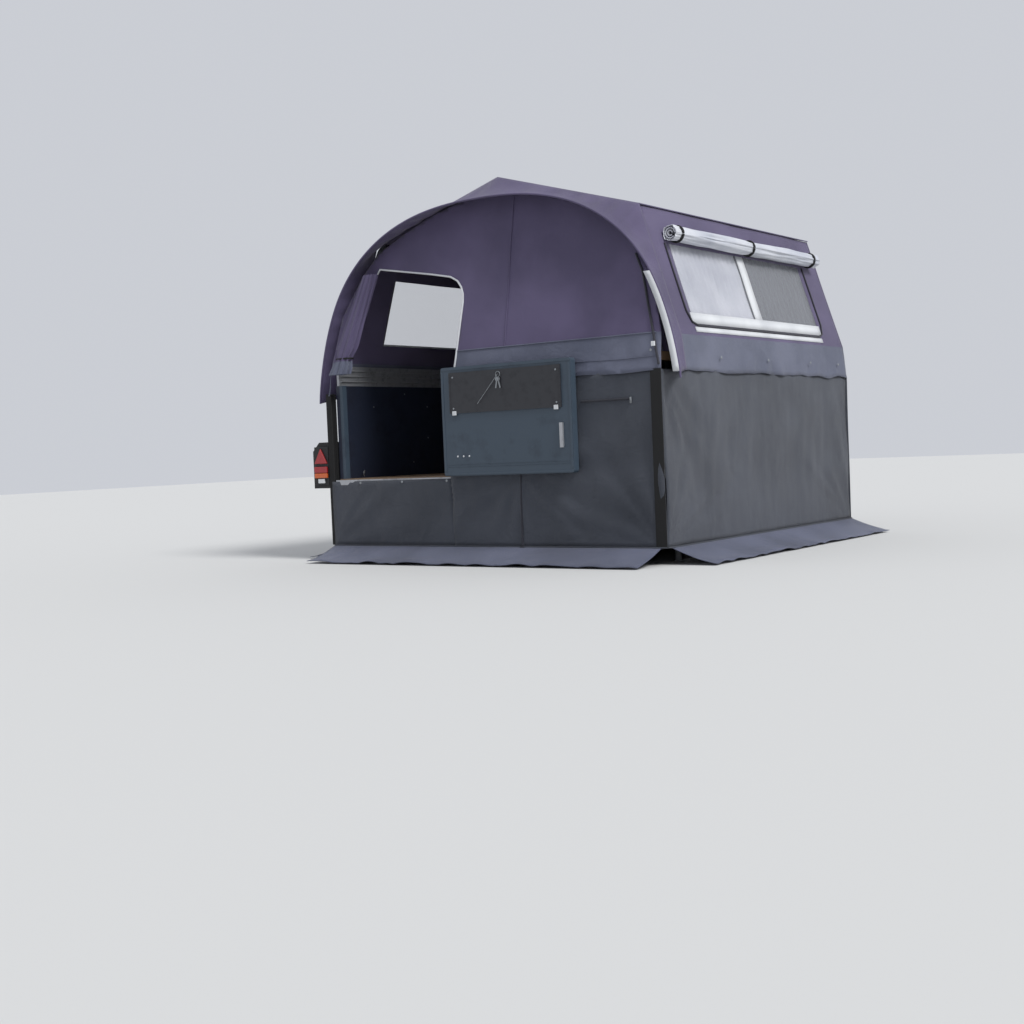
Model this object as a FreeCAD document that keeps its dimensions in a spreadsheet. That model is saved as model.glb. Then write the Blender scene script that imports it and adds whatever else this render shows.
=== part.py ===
import FreeCAD, Part
import math
import os
import re
import Sketcher

# Pitched folding tent trailer. Millimetres. +Y runs from the rear wall to the drawbar, +X is the side
# that the bed folds out to, +Z is up, and the origin is on the ground under the middle of the outline.

doc = FreeCAD.newDocument("tent_trailer")

# ---------------------------------------------------------------- driving dimensions
driving = {
    # tent
    "tent_width": 2550, "tent_length": 2630, "hem_height": 1110, "seam_height": 1315,
    "seam_inset": 25, "shoulder_height": 2085, "shoulder_inset": 270, "ridge_height": 2385,
    "cloth": 8, "seat_gap": 0.3, "stitch_height": 100, "flap_reach": 280, "flap_cloth": 6,
    "flap_corner_gap": 40,
    "hood_depth": 270, "hood_edge_depth": 30, "hood_edge_half": 1330, "hood_edge_foot": 1050,
    "hood_edge_rise": 1180, "hood_clearance": 12, "rear_top_setback": 40, "side_shear_drop": 150,
    "hood_corner_drop": 200, "hood_corner_inset": 230, "hood_top_gap": 60,
    # window, blind, curtains
    "window_low": 1440, "window_high": 1870, "window_start": 500, "window_span": 1800,
    "pane_thickness": 3, "mullion": 40, "curtain_thickness": 20, "curtain_overlap": 20,
    "blind_radius": 50, "blind_height": 1925, "blind_start": 440, "blind_length": 2060,
    # doorway in the rear canvas and the tied-back door flap
    "doorway_left_top": 888, "doorway_top": 1903, "doorway_crown": 438, "doorway_crown_height": 1822,
    "doorway_right": 190, "doorway_right_height": 1680, "doorway_foot": 215, "doorway_left_foot": 1140,
    "doorway_left_height": 1350, "roll_top_half": 60, "roll_foot_half": 92, "roll_depth": 45,
    "roll_top_inset": 40, "roll_clear": 12, "roll_top_drop": 30,
    # trailer box
    "box_width": 1270, "box_left": 1245, "box_rear": 47, "box_front_inset": 30, "wall": 30,
    "floor_height": 540, "floor_thickness": 40, "wall_height": 1160, "rail_height": 130,
    "rail_inset": 10, "post_width": 25, "post_depth": 40, "sill_height": 33,
    # rear door
    "door_width": 967, "door_height": 670, "door_thickness": 50, "pin_x": 265, "pin_y": 12,
    "door_pin_gap": 8, "door_skin_gap": 3, "door_corner": 18, "door_board_height": 250,
    "door_board_inset": 70, "door_board_thickness": 10, "handle_height": 145, "handle_width": 22,
    "handle_thickness": 14, "handle_inset": 75, "handle_low": 150, "knuckle_radius": 5,
    "knuckle_length": 30, "hinge_pin_radius": 2.5, "hinge_low": 90, "leaf": 3, "fit_gap": 0.3,
    # bed base, its legs and the canvas bows
    "bed_thickness": 50, "bed_edge_inset": 40, "bed_end_inset": 60, "hinge_radius": 6,
    "leg_size": 25, "leg_drop": 50, "leg_pin_radius": 6, "leg_inset": 110, "leg_stagger": 110,
    "leg_end_inset": 290, "foot_size": 70, "foot_thickness": 6, "leg_side_gap": 5, "eye_radius": 19,
    "lug": 20, "bow_radius": 12.5, "bow_bend": 70, "bow_inset": 20, "bow_foot_inset": 120,
    "bow_top_inset": 270, "ridge_bow_setback": 60,
    # chassis
    "rail_width": 40, "rail_depth": 80, "rail_offset": 450, "cross_width": 40,
    "steady_drop": 40, "steady_end_inset": 250,
    "drawbar_reach": 1080, "drawbar_tip_gap": 130, "arm_width": 50, "arm_height": 60,
    "arm_tip_offset": 30, "coupling_plate": 8, "coupling_plate_length": 200, "coupling_length": 250,
    "coupling_width": 60, "coupling_height": 55, "head_radius": 42, "ball_radius": 25,
    "socket_depth": 30, "lever_length": 150, "lever_width": 30, "lever_thickness": 14,
    # axle and wheels
    "axle_place": 1200, "axle_size": 60, "arm_trail": 140, "swing_arm": 25, "stub_radius": 15,
    "tyre_radius": 275, "tyre_width": 155, "rim_radius": 165, "rim_wall": 6, "wheel_gap": 35,
    "hub_radius": 45, "disc_thickness": 10, "mudguard_gap": 35, "mudguard_wall": 4,
    "mudguard_overhang": 15, "mudguard_foot": 60,
    # lamps
    "bracket_width": 250, "bracket_low": 480, "bracket_height": 310, "bracket_thickness": 6,
    "bracket_place": 56, "strip_place": 26, "bracket_bevel": 60, "lamp_width": 130, "lamp_height": 255, "lamp_depth": 45,
    "lamp_inset": 35, "lamp_low": 25,
    # jockey wheel
    "jockey_back": 420, "jockey_tube_radius": 30, "jockey_tube_low": 290, "jockey_tube_high": 760,
    "jockey_stem_radius": 22, "jockey_trail": 35, "jockey_radius": 100, "jockey_width": 55,
    "jockey_fork_wall": 6, "jockey_fork_gap": 6, "jockey_pin_radius": 8, "clamp_height": 40,
    "clamp_wall": 16, "crank_height": 20, "crank_length": 120,
    # corner webbing
    "strip_width": 70, "strip_thickness": 3,
}

# ---------------------------------------------------------------- derived places
derived = {
    "half": "tent_width/2",
    "rear": "-(tent_length + drawbar_reach - flap_reach)/2",
    "front": "rear + tent_length",
    "tip": "front + drawbar_reach",
    "seam_half": "half - seam_inset",
    "shoulder_half": "half - shoulder_inset",
    "side_slope": "(seam_half - shoulder_half)/(shoulder_height - seam_height)",
    "roof_slope": "(ridge_height - shoulder_height)/(shoulder_half + cloth)",
    "hood_front": "rear + hood_depth",
    "rear_slope": "(hood_depth - rear_top_setback)/(ridge_height - hem_height)",
    "box_x0": "-box_left",
    "box_x1": "-box_left + box_width",
    "box_mid": "(box_x0 + box_x1)/2",
    "box_y0": "rear + box_rear",
    "box_y1": "front - box_front_inset",
    "floor_low": "floor_height - floor_thickness",
    "pin_line": "-pin_x",
    "pin_depth": "rear - pin_y",
    "door_y1": "pin_depth - door_skin_gap",
    "door_y0": "door_y1 - door_thickness",
    "door_x0": "pin_line + door_pin_gap",
    "door_x1": "door_x0 + door_width",
    "door_low": "floor_height",
    "door_high": "floor_height + door_height",
    "door_shut": "pin_line - door_pin_gap - door_width",
    "bed_low": "wall_height",
    "bed_high": "bed_low + bed_thickness",
    "bed_x0": "box_x1 - wall + 2*hinge_radius",
    "bed_x1": "half - bed_edge_inset",
    "rim_high": "wall_height + rail_height",
    "leg_pin_height": "bed_low - leg_drop",
    "rail_low": "floor_low - rail_depth",
    "steady_pin_height": "floor_low - steady_drop",
    "axle_y": "rear + axle_place",
    "beam_y": "axle_y + arm_trail",
    "beam_high": "rail_low",
    "beam_low": "rail_low - axle_size",
    "wheel_left_x": "box_x0 - wheel_gap - tyre_width/2",
    "wheel_right_x": "box_x1 + wheel_gap + tyre_width/2",
    "arm_root_y": "box_y1",
    "arm_tip_y": "tip - drawbar_tip_gap",
    "arm_low": "rail_low",
    "arm_high": "rail_low + arm_height",
    "plate_high": "arm_high + coupling_plate",
    "ball_y": "tip - head_radius",
    "jockey_y": "tip - jockey_back",
    "arm_run": "(arm_tip_y - jockey_y)/(arm_tip_y - arm_root_y)",
    "arm_root_offset": "rail_offset",
    "arm_edge": "arm_tip_offset + arm_width/2 + (arm_root_offset - arm_tip_offset)*arm_run",
    "jockey_x": "box_mid + arm_edge + seat_gap + jockey_tube_radius + clamp_wall/2",
    "fork_high": "2*jockey_radius + jockey_fork_gap + jockey_fork_wall",
    "fork_half": "jockey_width/2 + jockey_fork_gap + jockey_fork_wall",
    "window_y0": "rear + window_start",
    "window_y1": "window_y0 + window_span",
    "blind_x": "seam_half - (blind_height - seam_height)*side_slope"
               " + (blind_radius + seat_gap)*sqrt(1 + side_slope^2)",
}

dims = doc.addObject("Spreadsheet::Sheet", "dims")
places = doc.addObject("Spreadsheet::Sheet", "places")


def bound(formula):
    """The formula with each name tied to the sheet that holds it."""
    def owner(match):
        word = match.group(0)
        if word in driving:
            return "dims." + word
        return "places." + word if word in derived else word
    return re.sub(r"[A-Za-z_][A-Za-z_0-9]*", owner, formula)


for row, (alias, size) in enumerate(driving.items(), start=1):
    dims.set("A%d" % row, alias)
    dims.set("B%d" % row, str(size))
    dims.setAlias("B%d" % row, alias)
doc.recompute()
for row, (alias, formula) in enumerate(derived.items(), start=1):
    places.set("A%d" % row, alias)
    places.setAlias("B%d" % row, alias)
for row, (alias, formula) in enumerate(derived.items(), start=1):
    places.set("B%d" % row, "=" + bound(formula).replace("places.", ""))
doc.recompute()


def value(formula):
    """The formula's number, for shapes that are worked out in code."""
    result = dims.evalExpression(bound(formula))
    return float(getattr(result, "Value", result))


# ---------------------------------------------------------------- building blocks
nodes = []


def node(label, thing):
    """Names a finished sub-part."""
    thing.Label = label
    nodes.append(thing)
    return thing


def tie(thing, **formulas):
    """Binds properties; a double underscore stands for a dot."""
    for name, formula in formulas.items():
        thing.setExpression(name.replace("__", "."), bound(formula))


def box(name, x0, x1, y0, y1, z0, z1):
    """A block between two corners."""
    thing = doc.addObject("Part::Box", name)
    tie(thing, Length="(%s) - (%s)" % (x1, x0), Width="(%s) - (%s)" % (y1, y0),
        Height="(%s) - (%s)" % (z1, z0), Placement__Base__x=x0, Placement__Base__y=y0,
        Placement__Base__z=z0)
    return thing


turns = {
    "x": FreeCAD.Rotation(FreeCAD.Vector(0, 1, 0), 90),
    "y": FreeCAD.Rotation(FreeCAD.Vector(1, 0, 0), -90),
    "z": FreeCAD.Rotation(),
}


def rod(name, axis, start, radius, length):
    """A cylinder from the start point along one axis."""
    thing = doc.addObject("Part::Cylinder", name)
    thing.Placement = FreeCAD.Placement(FreeCAD.Vector(), turns[axis])
    tie(thing, Radius=radius, Height=length, Placement__Base__x=start[0],
        Placement__Base__y=start[1], Placement__Base__z=start[2])
    return thing


def cut(name, base, tool):
    """The base without the tool."""
    thing = doc.addObject("Part::Cut", name)
    thing.Base = base
    thing.Tool = tool
    return thing


def common(name, base, tool):
    """What the base and the tool share."""
    thing = doc.addObject("Part::Common", name)
    thing.Base = base
    thing.Tool = tool
    return thing


def fuse(name, things):
    """One solid from pieces that touch."""
    thing = doc.addObject("Part::MultiFuse", name)
    thing.Shapes = things
    thing.Refine = True
    return thing


def group(name, things):
    """Like pieces that share a node."""
    thing = doc.addObject("Part::Compound", name)
    thing.Links = things
    return thing


# sketch plane, and the sign that the plane's offset and pad take along the extrusion axis
planes = {"y": ("XZ_Plane", -1), "x": ("YZ_Plane", 1), "z": ("XY_Plane", 1)}


def prism(name, axis, corners, start, length):
    """A straight-sided outline padded along one axis from start over length."""
    body = doc.addObject("PartDesign::Body", name)
    sketch = body.newObject("Sketcher::SketchObject", name + "_outline")
    role, sign = planes[axis]
    plane = [feature for feature in body.Origin.OriginFeatures if feature.Role == role][0]
    sketch.AttachmentSupport = [(plane, "")]
    sketch.MapMode = "FlatFace"
    spots = [FreeCAD.Vector(value(a), value(b), 0) for a, b in corners]
    count = len(spots)
    for index in range(count):
        sketch.addGeometry(Part.LineSegment(spots[index], spots[(index + 1) % count]), False)
    for index in range(count):
        sketch.addConstraint(Sketcher.Constraint("Coincident", index, 2, (index + 1) % count, 1))
    for index, (across, up) in enumerate(corners):
        for kind, formula in (("DistanceX", across), ("DistanceY", up)):
            rule = Sketcher.Constraint(kind, -1, 1, index, 1, value(formula))
            sketch.setExpression("Constraints[%d]" % sketch.addConstraint(rule), bound(formula))
    pad = body.newObject("PartDesign::Pad", name + "_pad")
    pad.Profile = sketch
    if sign < 0:
        sketch.setExpression("AttachmentOffset.Base.z", bound("-((%s) + (%s))" % (start, length)))
    else:
        sketch.setExpression("AttachmentOffset.Base.z", bound(start))
    pad.setExpression("Length", bound(length))
    return body


def coded(name, shape):
    """A sub-part whose shape is worked out in code."""
    thing = doc.addObject("Part::Feature", name)
    thing.Shape = shape
    thing.Placement = FreeCAD.Placement()
    return thing


def mirrored_points(points):
    """The same outline on the other side of the tent's middle plane."""
    return [("-(%s)" % across, up) for across, up in points]


# ---------------------------------------------------------------- tent outline
def side_line(height, inward="0"):
    """Distance of the side canvas's outer face from the middle plane, above the seam."""
    return "seam_half - ((%s) - seam_height)*side_slope - (%s)" % (height, inward)


def side_strip():
    """Section of a side wall: upright band below the seam, sloping canvas above."""
    return [
        ("half", "hem_height"),
        ("seam_half", "seam_height"),
        ("shoulder_half", "shoulder_height"),
        ("shoulder_half - cloth", "shoulder_height"),
        ("seam_half - cloth", "seam_height"),
        ("half - cloth", "hem_height"),
    ]


def roof_strip():
    """Section of a roof half, ridge to shoulder."""
    return [
        ("0", "ridge_height"),
        ("shoulder_half + cloth", "shoulder_height"),
        ("shoulder_half + cloth", "shoulder_height + cloth"),
        ("0", "ridge_height + cloth"),
    ]


def panel_strip(low, high, outer, inner):
    """Section of a flat piece that lies in, or along, the sloping side wall."""
    return [
        (side_line(low, outer), low),
        (side_line(high, outer), high),
        (side_line(high, inner), high),
        (side_line(low, inner), low),
    ]


sides = (("left", mirrored_points), ("right", lambda points: points))

canvas_run = "tent_length - cloth"
for side, flip in sides:
    wall_strip = prism("side_strip_" + side, "y", flip(side_strip()), "rear", canvas_run)
    reach = ("0", "half") if side == "right" else ("-half", "0")
    hole = box("window_hole_" + side, reach[0], reach[1], "window_y0", "window_y1",
               "window_low", "window_high")
    open_wall = cut("side_cut_" + side, wall_strip, hole)
    shear = prism("side_shear_" + side, "x", [
        ("rear - cloth", "seam_height"),
        ("hood_front", "shoulder_height - side_shear_drop"),
        ("hood_front", "ridge_height"),
        ("rear - cloth", "ridge_height"),
    ], reach[0], "half")
    node("side_canvas_" + side, cut("side_sheared_" + side, open_wall, shear))
    node("roof_" + side, prism("roof_half_" + side, "y", flip(roof_strip()), "hood_front",
                               canvas_run + " - hood_depth"))

front_outline = [("half", "hem_height"), ("seam_half", "seam_height"),
                 ("shoulder_half + cloth", "shoulder_height"), ("0", "ridge_height + cloth")]
front_outline = front_outline + mirrored_points(front_outline[:3])[::-1]
node("front_canvas", prism("front_wall_canvas", "y", front_outline, "front - cloth", "cloth"))

# rear canvas: an upright outline with the doorway, shared with a slab that leans in towards the ridge
margin = "hood_clearance"
side_top = "shoulder_height - hood_corner_drop"
half_top = [
    ("half - cloth - seat_gap", "hem_height"),
    ("seam_half - cloth - " + margin, "seam_height"),
    (side_line(side_top, "cloth + 2*" + margin), side_top),
    ("shoulder_half - hood_corner_inset", "shoulder_height"),
]
rear_outline = half_top + [("0", "ridge_height - hood_top_gap")]
rear_outline += mirrored_points(half_top[1:])[::-1]
rear_outline += [
    ("-doorway_left_foot", "doorway_left_height"),
    ("-doorway_left_top", "doorway_top"),
    ("-doorway_crown", "doorway_crown_height"),
    ("-doorway_right", "doorway_right_height"),
    ("-doorway_foot", "hem_height"),
]
rear_shape = prism("rear_outline_prism", "y", rear_outline, "rear - cloth", "hood_depth + 2*cloth")
lean = "(ridge_height - hem_height)*rear_slope"
rear_slab = prism("rear_lean_slab", "x", [
    ("rear - cloth/2", "hem_height"),
    ("rear - cloth/2 + " + lean, "ridge_height"),
    ("rear + cloth/2 + " + lean, "ridge_height"),
    ("rear + cloth/2", "hem_height"),
], "-half", "tent_width")
node("rear_canvas", common("rear_canvas_sheet", rear_shape, rear_slab))


def rear_face(height):
    """Place of the rear canvas's outer face at a height."""
    return "rear - cloth/2 + ((%s) - hem_height)*rear_slope" % height


# ---------------------------------------------------------------- hood over the rear wall
def along(points, share):
    """The point at a share of a polyline's length."""
    runs = [(b - a).Length for a, b in zip(points, points[1:])]
    left = share * sum(runs)
    for start, end, run in zip(points, points[1:], runs):
        if left <= run:
            return start + (end - start) * (left / run)
        left -= run
    return points[-1]


def hood_band(outer, depth, thickness):
    """A closed thin arch: the outer points and the same points moved in by the thickness."""
    middle = FreeCAD.Vector(0, depth, value("hem_height"))
    inner = [spot + (middle - spot).normalize() * thickness for spot in outer]
    return Part.makePolygon(outer + inner[::-1] + [outer[0]])


def hood_shape():
    """The flared hood: a ruled loft from the roof's end to the free arched edge."""
    stations = 24
    power = 2 / 2.4
    depth = value("hood_front - seat_gap")
    edge_depth = value("rear + hood_edge_depth")
    skin = value("cloth")
    corners = [
        (value("half") + 2 * skin, value("hem_height")),
        (value("seam_half") + 2 * skin, value("seam_height")),
        (value("shoulder_half") + 2 * skin, value("shoulder_height") + skin),
        (0, value("ridge_height") + skin),
    ]
    corners = corners + [(-across, up) for across, up in corners[2::-1]]
    roof_end = [FreeCAD.Vector(across, depth, up) for across, up in corners]
    root = [along(roof_end, index / stations) for index in range(stations + 1)]
    half_width = value("hood_edge_half")
    foot = value("hood_edge_foot")
    rise = value("hood_edge_rise")
    edge = []
    for index in range(stations + 1):
        angle = math.pi * index / stations
        side = math.copysign(abs(math.cos(angle)) ** power, math.cos(angle))
        edge.append(FreeCAD.Vector(half_width * side, edge_depth,
                                   foot + rise * abs(math.sin(angle)) ** power))
    bands = [hood_band(root, depth, skin), hood_band(edge, edge_depth, skin)]
    return Part.makeLoft(bands, True, True)


node("rear_hood", coded("rear_hood_shell", hood_shape()))

# ---------------------------------------------------------------- windows, curtains, rolled blinds
middle_y = "(window_y0 + window_y1)/2"
panes = []
curtains = []
blinds = []
pane_skin = ("(cloth - pane_thickness)/2", "(cloth + pane_thickness)/2")
for side, flip in sides:
    strip = panel_strip("window_low + seat_gap", "window_high - seat_gap", *pane_skin)
    panes.append(prism("pane_" + side, "y", flip(strip), "window_y0 + seat_gap",
                       "window_span - 2*seat_gap"))
    start = ("blind_x", "rear + blind_start", "blind_height")
    if side == "left":
        start = ("-blind_x",) + start[1:]
    blinds.append(rod("blind_roll_" + side, "y", start, "blind_radius", "blind_length"))
node("window_panes", group("window_pane_pair", panes))
node("rolled_blinds", group("rolled_blind_pair", blinds))

drape = panel_strip("window_low - curtain_overlap", "window_high + curtain_overlap",
                    "cloth + seat_gap", "cloth + seat_gap + curtain_thickness")
drape_run = "window_span/2 - mullion/2 + curtain_overlap"
curtains.append(prism("curtain_rear", "y", drape, "window_y0 - curtain_overlap", drape_run))
curtains.append(prism("curtain_front", "y", drape, middle_y + " + mullion/2", drape_run))
node("curtains", group("curtain_pair", curtains))


# ---------------------------------------------------------------- tied-back door flap
def flap_section(name, across, height, half_width):
    """A flat oval against the rear canvas's outer face."""
    oval = doc.addObject("Part::Ellipse", name)
    tie(oval, MajorRadius=half_width, MinorRadius="roll_depth", Placement__Base__x=across,
        Placement__Base__y=rear_face(height) + " - roll_depth - 2*seat_gap",
        Placement__Base__z=height)
    return oval


roll = doc.addObject("Part::Loft", "door_flap_loft")
roll.Sections = [
    flap_section("roll_foot", "-(seam_half - cloth - hood_clearance - roll_foot_half)",
                 "door_high + roll_clear", "roll_foot_half"),
    flap_section("roll_top", "-(doorway_left_top + roll_top_inset)", "doorway_top - roll_top_drop",
                 "roll_top_half"),
]
roll.Solid = True
roll.Ruled = True
node("door_flap_roll", roll)

# ---------------------------------------------------------------- skirts, ground flaps, webbing
skirt_low = "stitch_height + seat_gap"
skirt_high = "hem_height - seat_gap"
skirt_edge = "floor_height - 16"
skirt_start = "pin_line + door_pin_gap"
node("skirt_rear", group("skirt_rear_pair", [
    box("skirt_rear_high", skirt_start, "half", "rear - cloth/2", "rear + cloth/2", skirt_low,
        skirt_high),
    box("skirt_rear_low", "-half", skirt_start + " - seat_gap", "rear - cloth/2",
        "rear + cloth/2", skirt_low, skirt_edge),
]))
node("skirt_right", box("skirt_right_sheet", "half - cloth", "half", "rear + cloth/2 + seat_gap",
                        "front - cloth - seat_gap", skirt_low, skirt_high))
node("skirt_front", group("skirt_front_pair", [
    box("skirt_front_high", "box_x1 + wall", "half", "front - cloth", "front", skirt_low,
        skirt_high),
    box("skirt_front_low", "box_x0 - cloth", "box_x1 + wall - seat_gap", "front - cloth", "front",
        skirt_low, "arm_low - seat_gap"),
]))
wheel_bay = "tyre_radius + mudguard_gap + mudguard_wall + 20"
node("skirt_left", group("skirt_left_pair", [
    box("skirt_left_rear", "box_x0 - seat_gap - cloth", "box_x0 - seat_gap",
        "rear + bracket_place + bracket_thickness + 2*seat_gap", "axle_y - (%s)" % wheel_bay,
        skirt_low, "floor_height"),
    box("skirt_left_front", "box_x0 - seat_gap - cloth", "box_x0 - seat_gap",
        "axle_y + " + wheel_bay, "front - cloth - seat_gap", skirt_low, "floor_height"),
]))


def flap_strip(inner, outer):
    """Section of a ground flap, from the stitch line down to the ground."""
    return [(inner, "stitch_height"), (outer, "flap_cloth"), (outer, "0"),
            (inner, "stitch_height - flap_cloth")]


side_run = ("rear + flap_corner_gap", "tent_length - flap_corner_gap")
wheel_rear = "axle_y - (%s)" % wheel_bay
wheel_front = "axle_y + " + wheel_bay
left_flap = flap_strip("box_x0 - seat_gap", "-half - flap_reach")
node("ground_flaps", group("ground_flap_set", [
    prism("flap_rear", "x", flap_strip("rear + cloth/2", "rear - flap_reach"), "-half",
          "tent_width - flap_corner_gap"),
    prism("flap_right", "y", flap_strip("half - cloth", "half + flap_reach"), *side_run),
    prism("flap_front", "x", flap_strip("front - cloth/2", "front + flap_reach"), "-half",
          "tent_width"),
    prism("flap_left_rear", "y", left_flap, side_run[0],
          "(%s) - (%s)" % (wheel_rear, side_run[0])),
    prism("flap_left_front", "y", left_flap, wheel_front, "front - cloth - (%s)" % wheel_front),
]))
strip_back = "rear + strip_place + seat_gap"
node("corner_strips", group("corner_strip_pair", [
    box("strip_right", "half - strip_width", "half", "rear - cloth/2 - seat_gap - strip_thickness",
        "rear - cloth/2 - seat_gap", skirt_low, skirt_high),
    box("strip_left", "box_x0 - cloth - 2*seat_gap - strip_width",
        "box_x0 - cloth - 2*seat_gap", strip_back, strip_back + " + strip_thickness",
        skirt_low, skirt_high),
]))

# ---------------------------------------------------------------- trailer box
node("box_floor", box("floor_panel", "box_x0", "box_x1", "box_y0", "box_y1", "floor_low",
                      "floor_height"))
node("box_wall_left", box("wall_left", "box_x0", "box_x0 + wall", "box_y0", "box_y1",
                          "floor_height", "wall_height"))
node("box_wall_right", box("wall_right", "box_x1 - wall", "box_x1", "box_y0", "box_y1",
                           "floor_height", "wall_height"))
node("box_wall_front", box("wall_front", "box_x0 + wall", "box_x1 - wall", "box_y1 - wall",
                           "box_y1", "floor_height", "wall_height"))
node("rear_frame", group("rear_frame_pair", [
    box("panel_rear", "pin_line - 10", "box_x1 - wall", "box_y0", "box_y0 + wall",
        "floor_height", "wall_height"),
    box("post_rear", "box_x0 + wall", "box_x0 + wall + post_width", "box_y0",
        "box_y0 + post_depth", "floor_height", "wall_height"),
]))
node("rear_sill", box("sill_rear", "box_x0", "box_x1", "rear + cloth/2 + seat_gap", "box_y0",
                      "floor_low", "floor_low + sill_height"))
rail_x0 = "box_x0 + rail_inset"
node("rim_rails", group("rim_rail_pair", [
    box("rim_rail_left", rail_x0, rail_x0 + " + wall - rail_inset", "box_y0", "box_y1", "wall_height",
        "rim_high"),
    box("rim_rail_front", "box_x0 + wall + seat_gap", "box_x1 - wall", "box_y1 - wall", "box_y1",
        "wall_height", "rim_high"),
]))

# ---------------------------------------------------------------- bed base and its legs
bed_y0 = "rear + bed_end_inset"
bed_y1 = "front - bed_end_inset"
node("bed_base", box("bed_panel", "bed_x0", "bed_x1", bed_y0, bed_y1, "bed_low", "bed_high"))
node("bed_hinge", rod("bed_hinge_rod", "y", ("box_x1 - wall + hinge_radius", bed_y0,
                                             "wall_height + hinge_radius"),
                      "hinge_radius", "(%s) - (%s)" % (bed_y1, bed_y0)))


def leg(name, face, away, place, height):
    """A square leg with a round eye at the top and a foot plate, beside its carrier."""
    near = "(%s) + %s*leg_side_gap" % (face, away)
    far = near + " + %s*leg_size" % away
    foot_far = near + " + %s*foot_size" % away
    low, high = (near, far) if away == "1" else (far, near)
    foot_low, foot_high = (near, foot_far) if away == "1" else (foot_far, near)
    shank = box(name + "_shank", low, high, "(%s) - leg_size/2" % place,
                "(%s) + leg_size/2" % place, "0", height)
    eye = rod(name + "_eye", "x", (low, place, height), "eye_radius", "leg_size")
    foot = box(name + "_foot", foot_low, foot_high, "(%s) - foot_size/2" % place,
               "(%s) + foot_size/2" % place, "0", "foot_thickness")
    hole = rod(name + "_hole", "x", ("(%s) - leg_size" % low, place, height),
               "leg_pin_radius + fit_gap", "3*leg_size")
    return cut(name + "_cut", fuse(name + "_body", [shank, eye, foot]), hole)


pins = []
ends = (("rear", "rear + "), ("front", "front - "))
for end, base in ends:
    place = base + "leg_end_inset"
    inset = "leg_inset" if end == "rear" else "leg_inset + leg_stagger"
    face = "half - (%s) - leg_side_gap" % inset
    lug = box("lug_" + end, face + " - lug", face, "(%s) - lug" % place, "(%s) + lug" % place,
              "leg_pin_height - lug", "bed_low")
    pin = rod("bed_pin_" + end, "x", (face + " - lug/2", place, "leg_pin_height"),
              "leg_pin_radius", "lug/2 + leg_side_gap + leg_size + lug/2")
    pins.append(fuse("bed_carrier_" + end, [lug, pin]))
    node("bed_leg_" + end, leg("bed_" + end, face, "1", place, "leg_pin_height"))
for side, away, face in (("left", "-1", "box_mid - rail_offset - rail_width/2"),
                         ("right", "1", "box_mid + rail_offset + rail_width/2")):
    for end, base in ends:
        place = base + "steady_end_inset"
        name = "steady_%s_%s" % (end, side)
        node(name, leg(name, face, away, place, "steady_pin_height"))
        length = "leg_side_gap + leg_size + lug/2"
        start = face if away == "1" else "(%s) - (%s)" % (face, length)
        pins.append(rod(name + "_pin", "x", (start, place, "steady_pin_height"),
                        "leg_pin_radius", length))
node("leg_pins", group("leg_pin_set", pins))


# ---------------------------------------------------------------- canvas bows
def bow(foot, top, foot_inset, top_inset):
    """A bent tube: a leg up at each end and one bar along the tent, with a round bend between."""
    near = value("rear")
    far = value("front")
    spots = [
        FreeCAD.Vector(foot[0], near + foot_inset, foot[1]),
        FreeCAD.Vector(top[0], near + top_inset, top[1]),
        FreeCAD.Vector(top[0], far - top_inset, top[1]),
        FreeCAD.Vector(foot[0], far - foot_inset, foot[1]),
    ]
    bend = value("bow_bend")
    edges = []
    start = spots[0]
    for index in (1, 2):
        back = (spots[index - 1] - spots[index]).normalize()
        ahead = (spots[index + 1] - spots[index]).normalize()
        half_turn = back.getAngle(ahead) / 2
        reach = bend / math.tan(half_turn)
        first = spots[index] + back * reach
        last = spots[index] + ahead * reach
        inward = (back + ahead).normalize()
        centre = spots[index] + inward * (bend / math.sin(half_turn))
        edges.append(Part.LineSegment(start, first).toShape())
        edges.append(Part.Arc(first, centre - inward * bend, last).toShape())
        start = last
    edges.append(Part.LineSegment(start, spots[3]).toShape())
    path = Part.Wire(edges)
    ring = Part.Wire(Part.makeCircle(value("bow_radius"), spots[0], spots[1] - spots[0]))
    tube = path.makePipeShell([ring], True, True)
    low = value("rim_high") if foot[0] < 0 else value("bed_high")
    keep = Part.makeBox(value("tent_width"), 2 * value("tent_length"), value("ridge_height"),
                        FreeCAD.Vector(-value("half"), 1.5 * value("rear"), low))
    return tube.common(keep).Solids[0]


lift = value("(bow_radius + seat_gap)*sqrt(1 + roof_slope^2)")
shoulder_x = value("shoulder_half - bow_inset")
shoulder_z = value("shoulder_height + (bow_inset + cloth)*roof_slope") - lift
ridge_z = value("ridge_height") - lift
foot_y = value("bow_foot_inset")
top_y = value("bow_top_inset")
sunk = value("bow_radius")
left_foot = (value("box_x0 + (rail_inset + wall)/2"), value("rim_high") - sunk)
right_foot = (value("bed_x1 - 2*bow_radius"), value("bed_high") - sunk)
ridge_foot = (value("bed_x0 + 2*bow_radius"), value("bed_high") - sunk)
ridge_top = (0, ridge_z)
node("bow_left", coded("bow_left_tube", bow(left_foot, (-shoulder_x, shoulder_z), foot_y, top_y)))
node("bow_right", coded("bow_right_tube", bow(right_foot, (shoulder_x, shoulder_z), foot_y,
                                              top_y)))
ridge_y = top_y + value("ridge_bow_setback")
node("bow_ridge", coded("bow_ridge_tube", bow(ridge_foot, ridge_top, foot_y, ridge_y)))

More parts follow.
